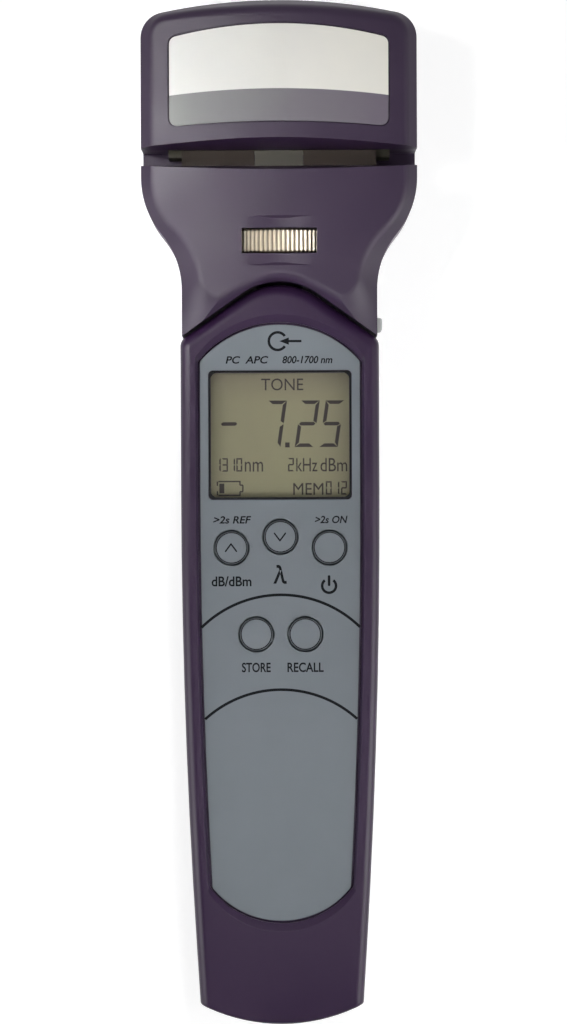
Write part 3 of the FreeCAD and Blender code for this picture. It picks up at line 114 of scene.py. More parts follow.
def raised(tree, strength, distance, height, normal=None):
    """The normal of a surface that a pattern raises, over another normal where one is given."""
    feeds = {"Strength": strength, "Distance": distance, "Height": height}
    if normal is not None:
        feeds["Normal"] = normal
    return shader_node(tree, "ShaderNodeBump", feeds).outputs[0]


def reckon_vector(tree, operation, first, second=(0.0, 0.0, 0.0), gives="Vector"):
    """One sum on vectors or on other nodes' outputs."""
    made = shader_node(tree, "ShaderNodeVectorMath", {0: first, 1: second}, operation=operation)
    return made.outputs[gives]


def dress(finish, *names):
    """Give CAD nodes their finish."""
    for name in names:
        for slot in nodes[name].material_slots:
            slot.material = finish


moulded_grain, taken, given = start_group(
    "moulded_grain",
    {
        "Place": "NodeSocketVector",
        "Grains": "NodeSocketFloat",
        "Patches": "NodeSocketFloat",
    },
    {"Height": "NodeSocketFloat", "Mottle": "NodeSocketFloat"},
)
spark_pits = noise(moulded_grain, taken["Place"], taken["Grains"], detail=2.0, roughness=0.65)
flow_patches = noise(moulded_grain, taken["Place"], taken["Patches"], detail=4.0, roughness=0.55)
moulded_grain.links.new(spark_pits, given.inputs["Height"])
moulded_grain.links.new(spread(moulded_grain, flow_patches, 0.0, 1.0, 0.3, 0.7), given.inputs["Mottle"])

rubbed_edges, taken, given = start_group(
    "rubbed_edges",
    {"Radius": "NodeSocketFloat"},
    {"Normal": "NodeSocketVector", "Rub": "NodeSocketFloat"},
)
softened = shader_node(rubbed_edges, "ShaderNodeBevel", {"Radius": taken["Radius"]}, samples=6)
true_normal = shader_node(rubbed_edges, "ShaderNodeNewGeometry").outputs["Normal"]
agreement = reckon_vector(rubbed_edges, "DOT_PRODUCT", softened.outputs[0], true_normal, "Value")
rubbed_edges.links.new(softened.outputs[0], given.inputs["Normal"])
rubbed_edges.links.new(spread(rubbed_edges, agreement, 0.0, 0.6, 0.99, 0.75), given.inputs["Rub"])


def moulded_plastic(name, colour, patch, rubbed, roughness, grains, depth, radius=0.12 * MM, shine=0.5):
    """A moulded plastic with spark grain, faint flow patches and lightly rubbed edges."""
    finish, tree, place = start_finish(name)
    grain = shader_node(
        tree,
        "ShaderNodeGroup",
        {"Place": place, "Grains": grains, "Patches": FLOW_PATCHES},
        node_tree=moulded_grain,
    )
    edge = shader_node(tree, "ShaderNodeGroup", {"Radius": radius}, node_tree=rubbed_edges)
    body = blend_colour(tree, grain.outputs["Mottle"], colour, patch)
    worn = blend_colour(tree, edge.outputs["Rub"], body, rubbed)
    dull = spread(tree, grain.outputs["Mottle"], roughness - 0.04, roughness + 0.04)
    spark = raised(tree, depth, GRAIN_HEIGHT, grain.outputs["Height"], edge.outputs["Normal"])
    close_finish(
        tree, {"Base Color": worn, "Roughness": dull, "Specular IOR Level": shine, "Normal": spark}
    )
    return finish


plum_shell = moulded_plastic(
    "plum_shell", PLUM, PLUM_PATCH, PLUM_RUBBED, roughness=0.36, grains=5200.0, depth=0.12, shine=0.45
)
dress(plum_shell, "handset_rear_shell", "battery_door")


# Two alkaline cells and their contacts. The cells have a printed shrink sleeve and bare steel
# ends, and the contacts are nickel-plated spring steel against the end walls of the cell bay.

SLEEVE_DARK = (0.020, 0.022, 0.026, 1.0)
SLEEVE_COPPER = (0.46, 0.20, 0.075, 1.0)
SLEEVE_BAND_Y = -58.0 * MM
NICKEL = (0.62, 0.58, 0.51, 1.0)
NICKEL_DULL = (0.40, 0.36, 0.31, 1.0)
TARNISH_CLOUDS = 320.0
LINE_HEIGHT = 0.01 * MM
METAL_EDGE = 0.08 * MM

drawn_lines, taken, given = start_group(
    "drawn_lines",
    {"Place": "NodeSocketVector", "Lines": "NodeSocketFloat", "Stretch": "NodeSocketVector"},
    {"Height": "NodeSocketFloat", "Tarnish": "NodeSocketFloat"},
)
pulled = reckon_vector(drawn_lines, "MULTIPLY", taken["Place"], taken["Stretch"])
scratches = noise(drawn_lines, pulled, taken["Lines"], detail=3.0)
clouds = noise(drawn_lines, taken["Place"], TARNISH_CLOUDS, detail=3.0)
drawn_lines.links.new(scratches, given.inputs["Height"])
drawn_lines.links.new(spread(drawn_lines, clouds, 0.0, 1.0, 0.35, 0.7), given.inputs["Tarnish"])


def worked_metal(name, colour, dull, roughness, lines, stretch, depth):
    """Bare or plated metal with drawn lines and a faint tarnish."""
    finish, tree, place = start_finish(name)
    drawn = shader_node(
        tree,
        "ShaderNodeGroup",
        {"Place": place, "Lines": lines, "Stretch": stretch},
        node_tree=drawn_lines,
    )
    edge = shader_node(tree, "ShaderNodeGroup", {"Radius": METAL_EDGE}, node_tree=rubbed_edges)
    tone = blend_colour(tree, drawn.outputs["Tarnish"], colour, dull)
    rough = spread(tree, drawn.outputs["Tarnish"], roughness - 0.06, roughness + 0.08)
    lined = raised(tree, depth, LINE_HEIGHT, drawn.outputs["Height"], edge.outputs["Normal"])
    close_finish(tree, {"Base Color": tone, "Metallic": 1.0, "Roughness": rough, "Normal": lined})
    return finish


def reckon(tree, operation, first, second):
    """One sum on two values or on other nodes' outputs."""
    return shader_node(tree, "ShaderNodeMath", {0: first, 1: second}, operation=operation).outputs[0]


cell_sleeve, tree, place = start_finish("cell_sleeve")
along = shader_node(tree, "ShaderNodeSeparateXYZ", {"Vector": place}).outputs["Y"]
copper_end = reckon(tree, "GREATER_THAN", along, SLEEVE_BAND_Y)
scuffs = noise(tree, place, 900.0, detail=4.0)
sleeve = blend_colour(tree, copper_end, SLEEVE_DARK, SLEEVE_COPPER)
scuffed = blend_colour(tree, spread(tree, scuffs, 0.0, 0.2, 0.5, 0.75), sleeve, NICKEL)
close_finish(
    tree,
    {
        "Base Color": scuffed,
        "Metallic": spread(tree, copper_end, 0.2, 0.7),
        "Roughness": spread(tree, scuffs, 0.22, 0.4),
    },
)
contact_nickel = worked_metal(
    "contact_nickel", NICKEL, NICKEL_DULL,
    roughness=0.3, lines=2400.0, stretch=(1.0, 12.0, 1.0), depth=0.25,
)
dress(cell_sleeve, "battery_left", "battery_right")
dress(contact_nickel, "bridge_contact", "terminal_contacts")


# Main circuit board with the detector can and the optical port's bush. The board is glass-epoxy
# with solder resist over copper tracks, the can is nickel-plated steel, and it sits in the bush,
# which is turned aluminium, anodised black.

RESIST = (0.010, 0.075, 0.032, 1.0)
TRACK = (0.018, 0.135, 0.050, 1.0)
PAD_GOLD = (0.62, 0.44, 0.16, 1.0)
PAD_SHARE = 0.16
TRACK_HEIGHT = 0.03 * MM
CAN_STEEL = (0.56, 0.55, 0.53, 1.0)
CAN_DULL = (0.42, 0.40, 0.38, 1.0)
ANODISE = (0.022, 0.022, 0.024, 1.0)
ANODISE_PALE = (0.032, 0.031, 0.033, 1.0)

circuit_board, tree, place = start_finish("circuit_board")
tracks = shader_node(
    tree,
    "ShaderNodeTexBrick",
    {
        "Vector": place,
        "Color1": (0.0, 0.0, 0.0, 1.0),
        "Color2": (0.35, 0.35, 0.35, 1.0),
        "Mortar": (1.0, 1.0, 1.0, 1.0),
        "Scale": 320.0,
        "Mortar Size": 0.035,
    },
)
pads = shader_node(tree, "ShaderNodeTexVoronoi", {"Vector": place, "Scale": 420.0})
pad_mask = reckon(tree, "LESS_THAN", pads.outputs["Distance"], PAD_SHARE)
resist = blend_colour(tree, tracks.outputs["Fac"], RESIST, TRACK)
close_finish(
    tree,
    {
        "Base Color": blend_colour(tree, pad_mask, resist, PAD_GOLD),
        "Metallic": pad_mask,
        "Roughness": spread(tree, pad_mask, 0.45, 0.28),
        "Normal": raised(tree, 0.4, TRACK_HEIGHT, tracks.outputs["Fac"]),
    },
)
plated_steel = worked_metal(
    "plated_steel", CAN_STEEL, CAN_DULL,
    roughness=0.32, lines=1800.0, stretch=(1.0, 1.0, 14.0), depth=0.2,
)
black_anodise = worked_metal(
    "black_anodise", ANODISE, ANODISE_PALE,
    roughness=0.5, lines=1800.0, stretch=(1.0, 14.0, 1.0), depth=0.2,
)
dress(circuit_board, "main_pcb")
dress(plated_steel, "detector_can")
dress(black_anodise, "port_bush")


# Liquid-crystal cell with its frame and its two rubber strips. The glass is a reflective
# twisted-nematic cell behind an olive polariser, held in its frame between the board and the front
# shell, and the strips carry the segment currents between the board's pads and the glass.

OLIVE = (0.318, 0.299, 0.186, 1.0)
OLIVE_WARM = (0.296, 0.273, 0.178, 1.0)
OLIVE_SHADE = (0.210, 0.182, 0.133, 1.0)
OLIVE_FLECK = (0.40, 0.384, 0.288, 1.0)
SHADE_TOP = (20.8 * MM, 26.6 * MM)
SHADE_SIDE = (8.6 * MM, 13.4 * MM)
FOIL_HEIGHT = 0.01 * MM
FRAME_BLACK = (0.016, 0.016, 0.018, 1.0)
FRAME_PATCH = (0.022, 0.021, 0.022, 1.0)
FRAME_RUBBED = (0.06, 0.06, 0.06, 1.0)
RUBBER_BLACK = (0.015, 0.015, 0.016, 1.0)
RUBBER_ROSE = (0.30, 0.17, 0.15, 1.0)

polariser, tree, place = start_finish("polariser")
speckle = noise(tree, place, 6500.0, detail=2.0)
clouding = noise(tree, place, 70.0, detail=3.0)
olive = blend_colour(tree, spread(tree, clouding, 0.0, 1.0, 0.35, 0.65), OLIVE, OLIVE_WARM)
# Painted shade: the polariser is coloured darker towards the top edge and the right edge of the window,
# where the recess round it casts its shade.
glass_spot = shader_node(tree, "ShaderNodeSeparateXYZ", {"Vector": place}).outputs
edge_shade = reckon(
    tree,
    "MAXIMUM",
    spread(tree, glass_spot["Y"], 0.0, 0.8, *SHADE_TOP),
    spread(tree, glass_spot["X"], 0.0, 0.12, *SHADE_SIDE),
)
shaded = blend_colour(tree, edge_shade, olive, OLIVE_SHADE)
close_finish(
    tree,
    {
        "Base Color": blend_colour(tree, spread(tree, speckle, 0.0, 0.16, 0.5, 0.8), shaded, OLIVE_FLECK),
        "Roughness": spread(tree, clouding, 0.42, 0.52),
        "Normal": raised(tree, 0.08, FOIL_HEIGHT, speckle),
    },
)
lcd_frame_black = moulded_plastic(
    "lcd_frame_black", FRAME_BLACK, FRAME_PATCH, FRAME_RUBBED, roughness=0.5, grains=4200.0, depth=0.3
)
strip_rubber, tree, place = start_finish("strip_rubber")
layers = shader_node(
    tree, "ShaderNodeTexWave", {"Vector": place, "Scale": 900.0, "Distortion": 0.4}
).outputs["Fac"]
close_finish(
    tree,
    {
        "Base Color": blend_colour(tree, layers, RUBBER_BLACK, RUBBER_ROSE),
        "Roughness": spread(tree, layers, 0.55, 0.7),
    },
)
dress(polariser, "lcd_module")
dress(lcd_frame_black, "lcd_frame")
dress(strip_rubber, "zebra_strips")


# Picture on the liquid-crystal cell: the driven segments, which are etched electrodes that turn
# dark. The reading and the words are a generic example of what such a meter shows.

LCD_FACE = 25.2 * MM
SEGMENT_DEPTH = 0.03 * MM
SEGMENT_DARK = (0.034, 0.025, 0.027, 1.0)
SEGMENT_FAINT = (0.048, 0.036, 0.037, 1.0)
READING = {"foot": 12.4, "height": 9.15, "slant": 0.145}
SMALL_HEIGHT = 2.6
UNITS_FOOT = 7.8
MEMORY_FOOT = 3.3
BLOCK_WIDTH = 0.95
CELL_SIGN_LINE = 0.26
CELL_SIGN = (
    [(-11.9, 3.25), (-7.75, 3.25)],
    [(-11.9, 5.9), (-7.75, 5.9)],
    [(-12.1, 3.25), (-12.1, 4.05)],
    [(-12.1, 5.1), (-12.1, 5.9)],
    [(-7.75, 3.15), (-7.75, 3.95), (-7.2, 3.95), (-7.2, 5.2), (-7.75, 5.2), (-7.75, 6.0)],
)
DIGIT_BARS = {
    "0": "abcdef", "1": "bc", "2": "abged", "3": "abgcd", "5": "afgcd", "7": "abc", "-": "g",
}
BAR_POINT = 0.46
ROUND_END = 0.48
UPRIGHT = 0.001
MERGE_REACH = 0.0001 * MM


def unpick(kind):
    """Deselect the active piece's mesh, so that its vertices, edges or faces can be picked in code."""
    bpy.ops.object.mode_set(mode="EDIT")
    bpy.ops.mesh.select_mode(type=kind)
    bpy.ops.mesh.select_all(action="DESELECT")
    bpy.ops.object.mode_set(mode="OBJECT")


def select_where(piece, chosen):
    """Select the vertices of a piece in edit mode whose place passes the test."""
    unpick("VERT")
    for vertex in piece.data.vertices:
        vertex.select = chosen(vertex.co)
    bpy.ops.object.mode_set(mode="EDIT")


def coat(piece, finish):
    """Give a new piece its only finish."""
    piece.data.materials.clear()
    piece.data.materials.append(finish)


def join_as(name, pieces, finish):
    """Join flat prints into one piece of one finish, with its place in its mesh."""
    bpy.ops.object.select_all(action="DESELECT")
    for piece in pieces:
        piece.select_set(True)
    bpy.context.view_layer.objects.active = pieces[0]
    bpy.ops.object.join()
    joined = bpy.context.object
    joined.name = name
    joined.data.name = name
    coat(joined, finish)
    return joined


def bevel_upright_edges(piece, offset, segments):
    """Bevel the edges of a flat piece that stand upright, to cut or round its corners."""
    unpick("EDGE")
    for edge in piece.data.edges:
        first, last = (piece.data.vertices[index].co for index in edge.vertices)
        edge.select = (last - first).xy.length < UPRIGHT * (last - first).length
    bpy.ops.object.mode_set(mode="EDIT")
    bpy.ops.mesh.bevel(offset=offset, segments=segments)
    bpy.ops.object.mode_set(mode="OBJECT")


def digit_bar(letter, centre, size, gap, shifts):
    """One bar of a digit of height 1: a block whose ends are moved to their mitres."""
    bpy.ops.object.select_all(action="DESELECT")
    bpy.ops.mesh.primitive_cube_add(size=1.0, location=(centre[0], centre[1], 0.0))
    bar = bpy.context.object
    bar.name = "digit_bar_" + letter
    bar.scale = (size[0] - 2.0 * gap, size[1] - 2.0 * gap, 1.0)
    bpy.ops.object.transform_apply(location=True, rotation=False, scale=True)
    for (across, up), move in shifts.items():
        select_where(
            bar,
            lambda co: (co.x - centre[0]) * across > 0.0 and (co.y - centre[1]) * up > 0.0,
        )
        bpy.ops.transform.translate(value=(move[0], move[1], 0.0))
        bpy.ops.object.mode_set(mode="OBJECT")
    if not shifts:
        bevel_upright_edges(bar, BAR_POINT * (size[1] - 2.0 * gap), 1)
    return bar


def digit_bars(width, mitre, gap):
    """The seven bars of a digit of height 1, with mitred ends, at their places in it."""
    half = 0.5 * mitre
    right = width - half
    middle = 0.5 * width
    return {
        "a": digit_bar(
            "a", (middle, 1.0 - half), (width, mitre), gap, {(-1, -1): (mitre, 0.0), (1, -1): (-mitre, 0.0)}
        ),
        "b": digit_bar(
            "b", (right, 0.75), (mitre, 0.5), gap, {(-1, 1): (0.0, -mitre), (-1, -1): (0.0, half)}
        ),
        "c": digit_bar(
            "c", (right, 0.25), (mitre, 0.5), gap, {(-1, -1): (0.0, mitre), (-1, 1): (0.0, -half)}
        ),
        "d": digit_bar(
            "d", (middle, half), (width, mitre), gap, {(-1, 1): (mitre, 0.0), (1, 1): (-mitre, 0.0)}
        ),
        "e": digit_bar(
            "e", (half, 0.25), (mitre, 0.5), gap, {(1, -1): (0.0, mitre), (1, 1): (0.0, -half)}
        ),
        "f": digit_bar(
            "f", (half, 0.75), (mitre, 0.5), gap, {(1, 1): (0.0, -mitre), (1, -1): (0.0, half)}
        ),
        "g": digit_bar("g", (middle, 0.5), (width - half, mitre), gap, {}),
    }


reading_bars = digit_bars(width=0.41, mitre=0.096, gap=0.011)
small_bars = digit_bars(width=0.445, mitre=0.112, gap=0.005)


def own_copy(piece):
    """A copy of a piece with its own mesh."""
    copy = piece.copy()
    copy.data = piece.data.copy()
    bpy.context.scene.collection.objects.link(copy)
    return copy


def lcd_digits(bars, digits, left, foot, height, pitch=0.0, slant=0.0):
    """Digits of seven bars in millimetres, copied from the bar models to their place on the glass."""
    made = []
    lean = Matrix.Identity(4)
    lean[0][1] = slant
    grow = Matrix.Diagonal((height * MM, height * MM, SEGMENT_DEPTH, 1.0))
    for number, digit in enumerate(digits):
        at = Matrix.Translation(((left + number * pitch) * MM, foot * MM, LCD_FACE))
        for letter in DIGIT_BARS[digit]:
            bar = own_copy(bars[letter])
            bar.data.transform(at @ grow @ lean)
            made.append(bar)
    return made


def lettering(words, left, right, foot, top, base, depth, slant=0.0, weight=0.0):
    """Words cut as a flat mesh that fills a box on a face at the height base."""
    bpy.ops.object.select_all(action="DESELECT")
    bpy.ops.object.text_add(location=(0.0, 0.0, 0.0))
    text = bpy.context.object
    text.data.body = words
    text.data.shear = slant
    text.data.offset = weight
    text.data.extrude = 0.5
    text.data.resolution_u = 4
    bpy.ops.object.convert(target="MESH")
    text = bpy.context.object
    low = Vector(min(v.co[i] for v in text.data.vertices) for i in range(3))
    high = Vector(max(v.co[i] for v in text.data.vertices) for i in range(3))
    grow = Matrix.Diagonal(
        ((right - left) / (high.x - low.x), (top - foot) / (high.y - low.y), depth, 1.0)
    )
    at = Matrix.Translation((left, foot, base))
    text.data.transform(at @ grow @ Matrix.Translation((-low.x, -low.y, 0.0)))
    bpy.ops.object.mode_set(mode="EDIT")
    bpy.ops.mesh.select_all(action="SELECT")
    bpy.ops.mesh.remove_doubles(threshold=MERGE_REACH)
    bpy.ops.mesh.normals_make_consistent(inside=False)
    bpy.ops.object.mode_set(mode="OBJECT")
    return text


def ink_bar(start, end, width, base, depth, round_ends=True):
    """A straight printed line with rounded ends, between two points of a face."""
    bpy.ops.object.select_all(action="DESELECT")
    run = Vector(end) - Vector(start)
    long = run.length + (width if round_ends else 0.0)
    bpy.ops.mesh.primitive_cube_add(size=1.0, location=(0.0, 0.0, 0.0))
    bar = bpy.context.object
    bar.scale = (long, width, depth)
    bpy.ops.object.transform_apply(location=False, rotation=False, scale=True)
    if round_ends:
        bevel_upright_edges(bar, ROUND_END * width, 3)
    middle = 0.5 * (Vector(start) + Vector(end))
    turn = Matrix.Rotation(math.atan2(run.y, run.x), 4, "Z")
    bar.data.transform(Matrix.Translation((middle.x, middle.y, base)) @ turn)
    return bar


lcd_ink, tree, place = start_finish("lcd_ink")
drive = noise(tree, place, 380.0, detail=2.0)
close_finish(
    tree,
    {
        "Base Color": blend_colour(tree, drive, SEGMENT_DARK, SEGMENT_FAINT),
        "Roughness": spread(tree, drive, 0.42, 0.52),
    },
)


def lcd_line(points, width):
    """A thin run of straight electrodes through points given in millimetres."""
    ends = [(x * MM, y * MM) for x, y in points]
    return [
        ink_bar(first, last, width * MM, LCD_FACE, SEGMENT_DEPTH, False)
        for first, last in zip(ends, ends[1:])
    ]


def lcd_words(words, left, right, foot, top):
    """Words on the glass, in a box given in millimetres."""
    return lettering(words, left * MM, right * MM, foot * MM, top * MM, LCD_FACE, SEGMENT_DEPTH * 0.5)


picture = [
    lcd_words("TONE", -3.6, 4.5, 23.4, 25.7),
    *lcd_digits(reading_bars, "-", -12.35, **READING),
    *lcd_digits(reading_bars, "7", -3.6, **READING),
    *lcd_line([(0.98, 12.9), (1.83, 12.9)], BLOCK_WIDTH),
    *lcd_digits(reading_bars, "25", 2.7, pitch=4.72, **READING),
    *lcd_digits(small_bars, "1310", -12.59, UNITS_FOOT, SMALL_HEIGHT, 1.38),
    lcd_words("nm", -6.8, -3.3, UNITS_FOOT, 9.7),
    *lcd_digits(small_bars, "2", 1.5, UNITS_FOOT, SMALL_HEIGHT),
    lcd_words("kHz", 3.1, 7.15, UNITS_FOOT, 10.35),
    lcd_words("dBm", 7.75, 12.9, UNITS_FOOT, 10.35),
    *[bar for run in CELL_SIGN for bar in lcd_line(run, CELL_SIGN_LINE)],
    *lcd_line([(-11.25, 3.65), (-11.25, 5.5)], BLOCK_WIDTH),
    lcd_words("MEM", 2.5, 8.3, MEMORY_FOOT, 5.55),
    *lcd_digits(small_bars, "012", 8.75, MEMORY_FOOT, SMALL_HEIGHT, 1.47),
]
lcd_picture = join_as("lcd_picture", picture, lcd_ink)
for bar in (*reading_bars.values(), *small_bars.values()):
    bpy.data.objects.remove(bar)
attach(lcd_picture, "handset")


# Keypad mat and its five keys. The mat is moulded silicone rubber with a carbon pill under each
# key, laid on the board. The key caps are moulded grey ABS, kept under the front shell by flanges.

MAT_GREY = (0.20, 0.21, 0.22, 1.0)
MAT_PATCH = (0.17, 0.18, 0.19, 1.0)
MAT_RUBBED = (0.3, 0.3, 0.3, 1.0)
PANEL_GREY = (0.150, 0.170, 0.191, 1.0)
PANEL_PATCH = (0.140, 0.160, 0.179, 1.0)
PANEL_RUBBED = (0.30, 0.32, 0.34, 1.0)

silicone_mat = moulded_plastic(
    "silicone_mat", MAT_GREY, MAT_PATCH, MAT_RUBBED, roughness=0.62, grains=3000.0, depth=0.2
)
key_grey = moulded_plastic(
    "key_grey", PANEL_GREY, PANEL_PATCH, PANEL_RUBBED,
    roughness=0.5, grains=7000.0, depth=0.18, radius=0.15 * MM,
)
dress(silicone_mat, "keypad_mat")
dress(key_grey, "key_up", "key_down", "key_power", "key_store", "key_recall")


# Marks on the keys in black, which move with them: a painted shade ring round the rim of each cap,
# which stands in for the shade at its edge, and thin printed chevrons on the two selector keys.

KEY_FACE = 28.15 * MM
INK_DEPTH = 0.03 * MM
INK_AND_RIM_SHADE = (0.006, 0.006, 0.008, 1.0)
INK_AND_RIM_SHADE_THIN = (0.016, 0.016, 0.019, 1.0)
RIM_SHADE_RADIUS = 3.04 * MM
RIM_SHADE_WIDTH = 0.22 * MM
CHEVRON_LINE = 0.28 * MM
CHEVRON_HALF = 1.05
CHEVRON_RISE = 1.41
FLAT_FACE = 0.9

# One black serves the printed legends and chevrons and the painted shade rings at the key rims.
print_and_rim_shade, tree, place = start_finish("print_and_rim_shade")
screen_print = noise(tree, place, 5200.0, detail=2.0)
thinned = spread(tree, screen_print, 0.0, 0.5, 0.4, 0.8)
close_finish(
    tree,
    {
        "Base Color": blend_colour(tree, thinned, INK_AND_RIM_SHADE, INK_AND_RIM_SHADE_THIN),
        "Roughness": spread(tree, screen_print, 0.6, 0.75),
        "Specular IOR Level": 0.12,
    },
)


def chevron(tip_x, tip_y, rise):
    """Two thin strokes that meet in a tip, in millimetres."""
    tip = (tip_x * MM, tip_y * MM)
    ends = [((tip_x + side * CHEVRON_HALF) * MM, (tip_y - rise) * MM) for side in (-1.0, 1.0)]
    return [ink_bar(tip, end, CHEVRON_LINE, KEY_FACE, INK_DEPTH) for end in ends]


def rim_shade_ring(middle):
    """A painted shade ring at the rim of a key cap, where its edge falls into shade: a thin disc whose two
    faces are inset and bridged.
    """
    bpy.ops.object.select_all(action="DESELECT")
    bpy.ops.mesh.primitive_cylinder_add(
        vertices=64, radius=RIM_SHADE_RADIUS, depth=INK_DEPTH, location=(0.0, 0.0, 0.0)
    )
    ring = bpy.context.object
    unpick("FACE")
    for face in ring.data.polygons:
        face.select = abs(face.normal.z) > FLAT_FACE
    bpy.ops.object.mode_set(mode="EDIT")
    bpy.ops.mesh.inset(thickness=RIM_SHADE_WIDTH)
    bpy.ops.mesh.bridge_edge_loops()
    bpy.ops.object.mode_set(mode="OBJECT")
    ring.data.transform(Matrix.Translation((middle.x, middle.y, KEY_FACE)))
    return ring


key_strokes = {
    "key_up": chevron(-9.5, -6.1, CHEVRON_RISE),
    "key_down": chevron(-0.1, -5.5, -CHEVRON_RISE),
    "key_power": [],
    "key_store": [],
    "key_recall": [],
}
for key, strokes in key_strokes.items():
    key_low, key_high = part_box(key)
    shade_and_print_marks = join_as(key + "_sign", [rim_shade_ring(0.5 * (key_low + key_high)), *strokes], print_and_rim_shade)
    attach(shade_and_print_marks, key)


# Front shell of the handset, moulded like the rear one. It carries the raised rails, the peaked
# shoulder under the head and the bezel round the panel, and closes on the rear shell's lip.

dress(plum_shell, "handset_front_shell")


# Display window: a clear acrylic pane glued on a ledge of the front shell, in the opening of the
# panel, with a thin black border printed on its underside.

WINDOW_MIDDLE = (0.0, 14.8 * MM, 0.0)
WINDOW_HALF_X = 13.38 * MM
WINDOW_HALF_Y = 12.03 * MM
WINDOW_CORNER = 1.5 * MM
WINDOW_TINT = (0.93, 0.93, 0.92, 1.0)
BORDER_BLACK = (0.012, 0.012, 0.014, 1.0)
BORDER_WORN = (0.022, 0.021, 0.024, 1.0)
ACRYLIC_IOR = 1.49

clear_window, tree, place = start_finish("clear_window")
corner = (WINDOW_HALF_X - WINDOW_CORNER, WINDOW_HALF_Y - WINDOW_CORNER, 1.0)
mirrored = reckon_vector(tree, "ABSOLUTE", reckon_vector(tree, "SUBTRACT", place, WINDOW_MIDDLE))
past_corner = reckon_vector(tree, "SUBTRACT", mirrored, corner)
outside = reckon_vector(tree, "MAXIMUM", past_corner, (0.0, 0.0, 0.0))
reach = reckon_vector(tree, "LENGTH", outside, gives="Value")
border = reckon(tree, "GREATER_THAN", reach, WINDOW_CORNER)
smears = noise(tree, place, 260.0, detail=4.0)
see_through = shader_node(tree, "ShaderNodeBsdfTransparent", {"Color": WINDOW_TINT})
sheen = shader_node(tree, "ShaderNodeBsdfGlossy", {"Roughness": spread(tree, smears, 0.03, 0.12)})
inner_side = shader_node(tree, "ShaderNodeNewGeometry").outputs["Backfacing"]
outer_side = reckon(tree, "SUBTRACT", 1.0, inner_side)
fresnel = shader_node(tree, "ShaderNodeFresnel", {"IOR": ACRYLIC_IOR}).outputs[0]
glint = reckon(tree, "MULTIPLY", fresnel, outer_side)
pane = shader_node(
    tree, "ShaderNodeMixShader", {0: glint, 1: see_through.outputs[0], 2: sheen.outputs[0]}
)
border_print = shader_node(
    tree,
    "ShaderNodeBsdfPrincipled",
    {"Base Color": blend_colour(tree, smears, BORDER_BLACK, BORDER_WORN), "Roughness": 0.2},
)
bordered = shader_node(
    tree, "ShaderNodeMixShader", {0: border, 1: pane.outputs[0], 2: border_print.outputs[0]}
)
shader_node(tree, "ShaderNodeOutputMaterial", {"Surface": bordered.outputs[0]})
dress(clear_window, "display_window")


# Keypad panel: a blue-grey polycarbonate plate with a fine matt texture, bonded into the recess
# of the front shell. Its legends and signs are screen-printed in black ink.

PANEL_FACE = 28.0 * MM
SIGN_LINE = 0.50 * MM
ARROW_LINE = 0.44 * MM
RULE_LINE = 0.52 * MM
RULE_RADIUS = 21.7 * MM
SYMBOL_Y = 32.8 * MM
POWER_X = 9.3 * MM
RANGE_ROW = (28.5, 29.95)
HINT_ROW = (-2.2, -0.75)
STORE_ROW = (-30.75, -28.9)
SMALL_SLANT = 0.2
TRIANGLE_SPAN = 1.5

panel_grey = moulded_plastic(
    "panel_grey", PANEL_GREY, PANEL_PATCH, PANEL_RUBBED,
    roughness=0.5, grains=7000.0, depth=0.18, radius=0.1 * MM,
)
dress(panel_grey, "keypad_panel")


def ink_arc(middle, radius, centre_angle, sweep, width):
    """A printed arc: the line's cross-section spun about the arc's middle."""
    bpy.ops.object.select_all(action="DESELECT")
    bpy.ops.mesh.primitive_plane_add(
        size=1.0, location=(radius, 0.0, 0.0), rotation=(0.5 * math.pi, 0.0, 0.0)
    )
    arc = bpy.context.object
    arc.scale = (width, INK_DEPTH, 1.0)
    bpy.ops.object.transform_apply(location=True, rotation=True, scale=True)
    bpy.ops.object.mode_set(mode="EDIT")
    bpy.ops.mesh.select_all(action="SELECT")
    bpy.ops.mesh.spin(steps=40, angle=sweep, center=(0.0, 0.0, 0.0), axis=(0.0, 0.0, 1.0))
    bpy.ops.mesh.select_all(action="SELECT")
    bpy.ops.mesh.remove_doubles(threshold=MERGE_REACH)
    bpy.ops.mesh.normals_make_consistent(inside=False)
    bpy.ops.object.mode_set(mode="OBJECT")
    run = sum((vertex.co for vertex in arc.data.vertices), Vector())
    turn = Matrix.Rotation(centre_angle - math.atan2(run.y, run.x), 4, "Z")
    arc.data.transform(Matrix.Translation((middle[0], middle[1], PANEL_FACE)) @ turn)
    return arc


def panel_words(words, left, right, foot, top, slant=0.0, weight=0.02):
    """A printed legend in a box given in millimetres."""
    return lettering(
        words, left * MM, right * MM, foot * MM, top * MM, PANEL_FACE, 0.5 * INK_DEPTH, slant, weight
    )


def arrow_head(tip, length, half_height):
    """A printed arrow head that points to the left."""
    bpy.ops.object.select_all(action="DESELECT")
    bpy.ops.mesh.primitive_cylinder_add(
        vertices=3, radius=1.0, depth=1.0, location=(0.0, 0.0, 0.0), rotation=(0.0, 0.0, 0.5 * math.pi)
    )
    head = bpy.context.object
    bpy.ops.object.transform_apply(location=True, rotation=True, scale=True)
    reach = length / TRIANGLE_SPAN
    grow = Matrix.Diagonal((reach, half_height / math.sin(math.pi / 3.0), INK_DEPTH, 1.0))
    head.data.transform(Matrix.Translation((tip[0] + reach, tip[1], PANEL_FACE)) @ grow)
    return head


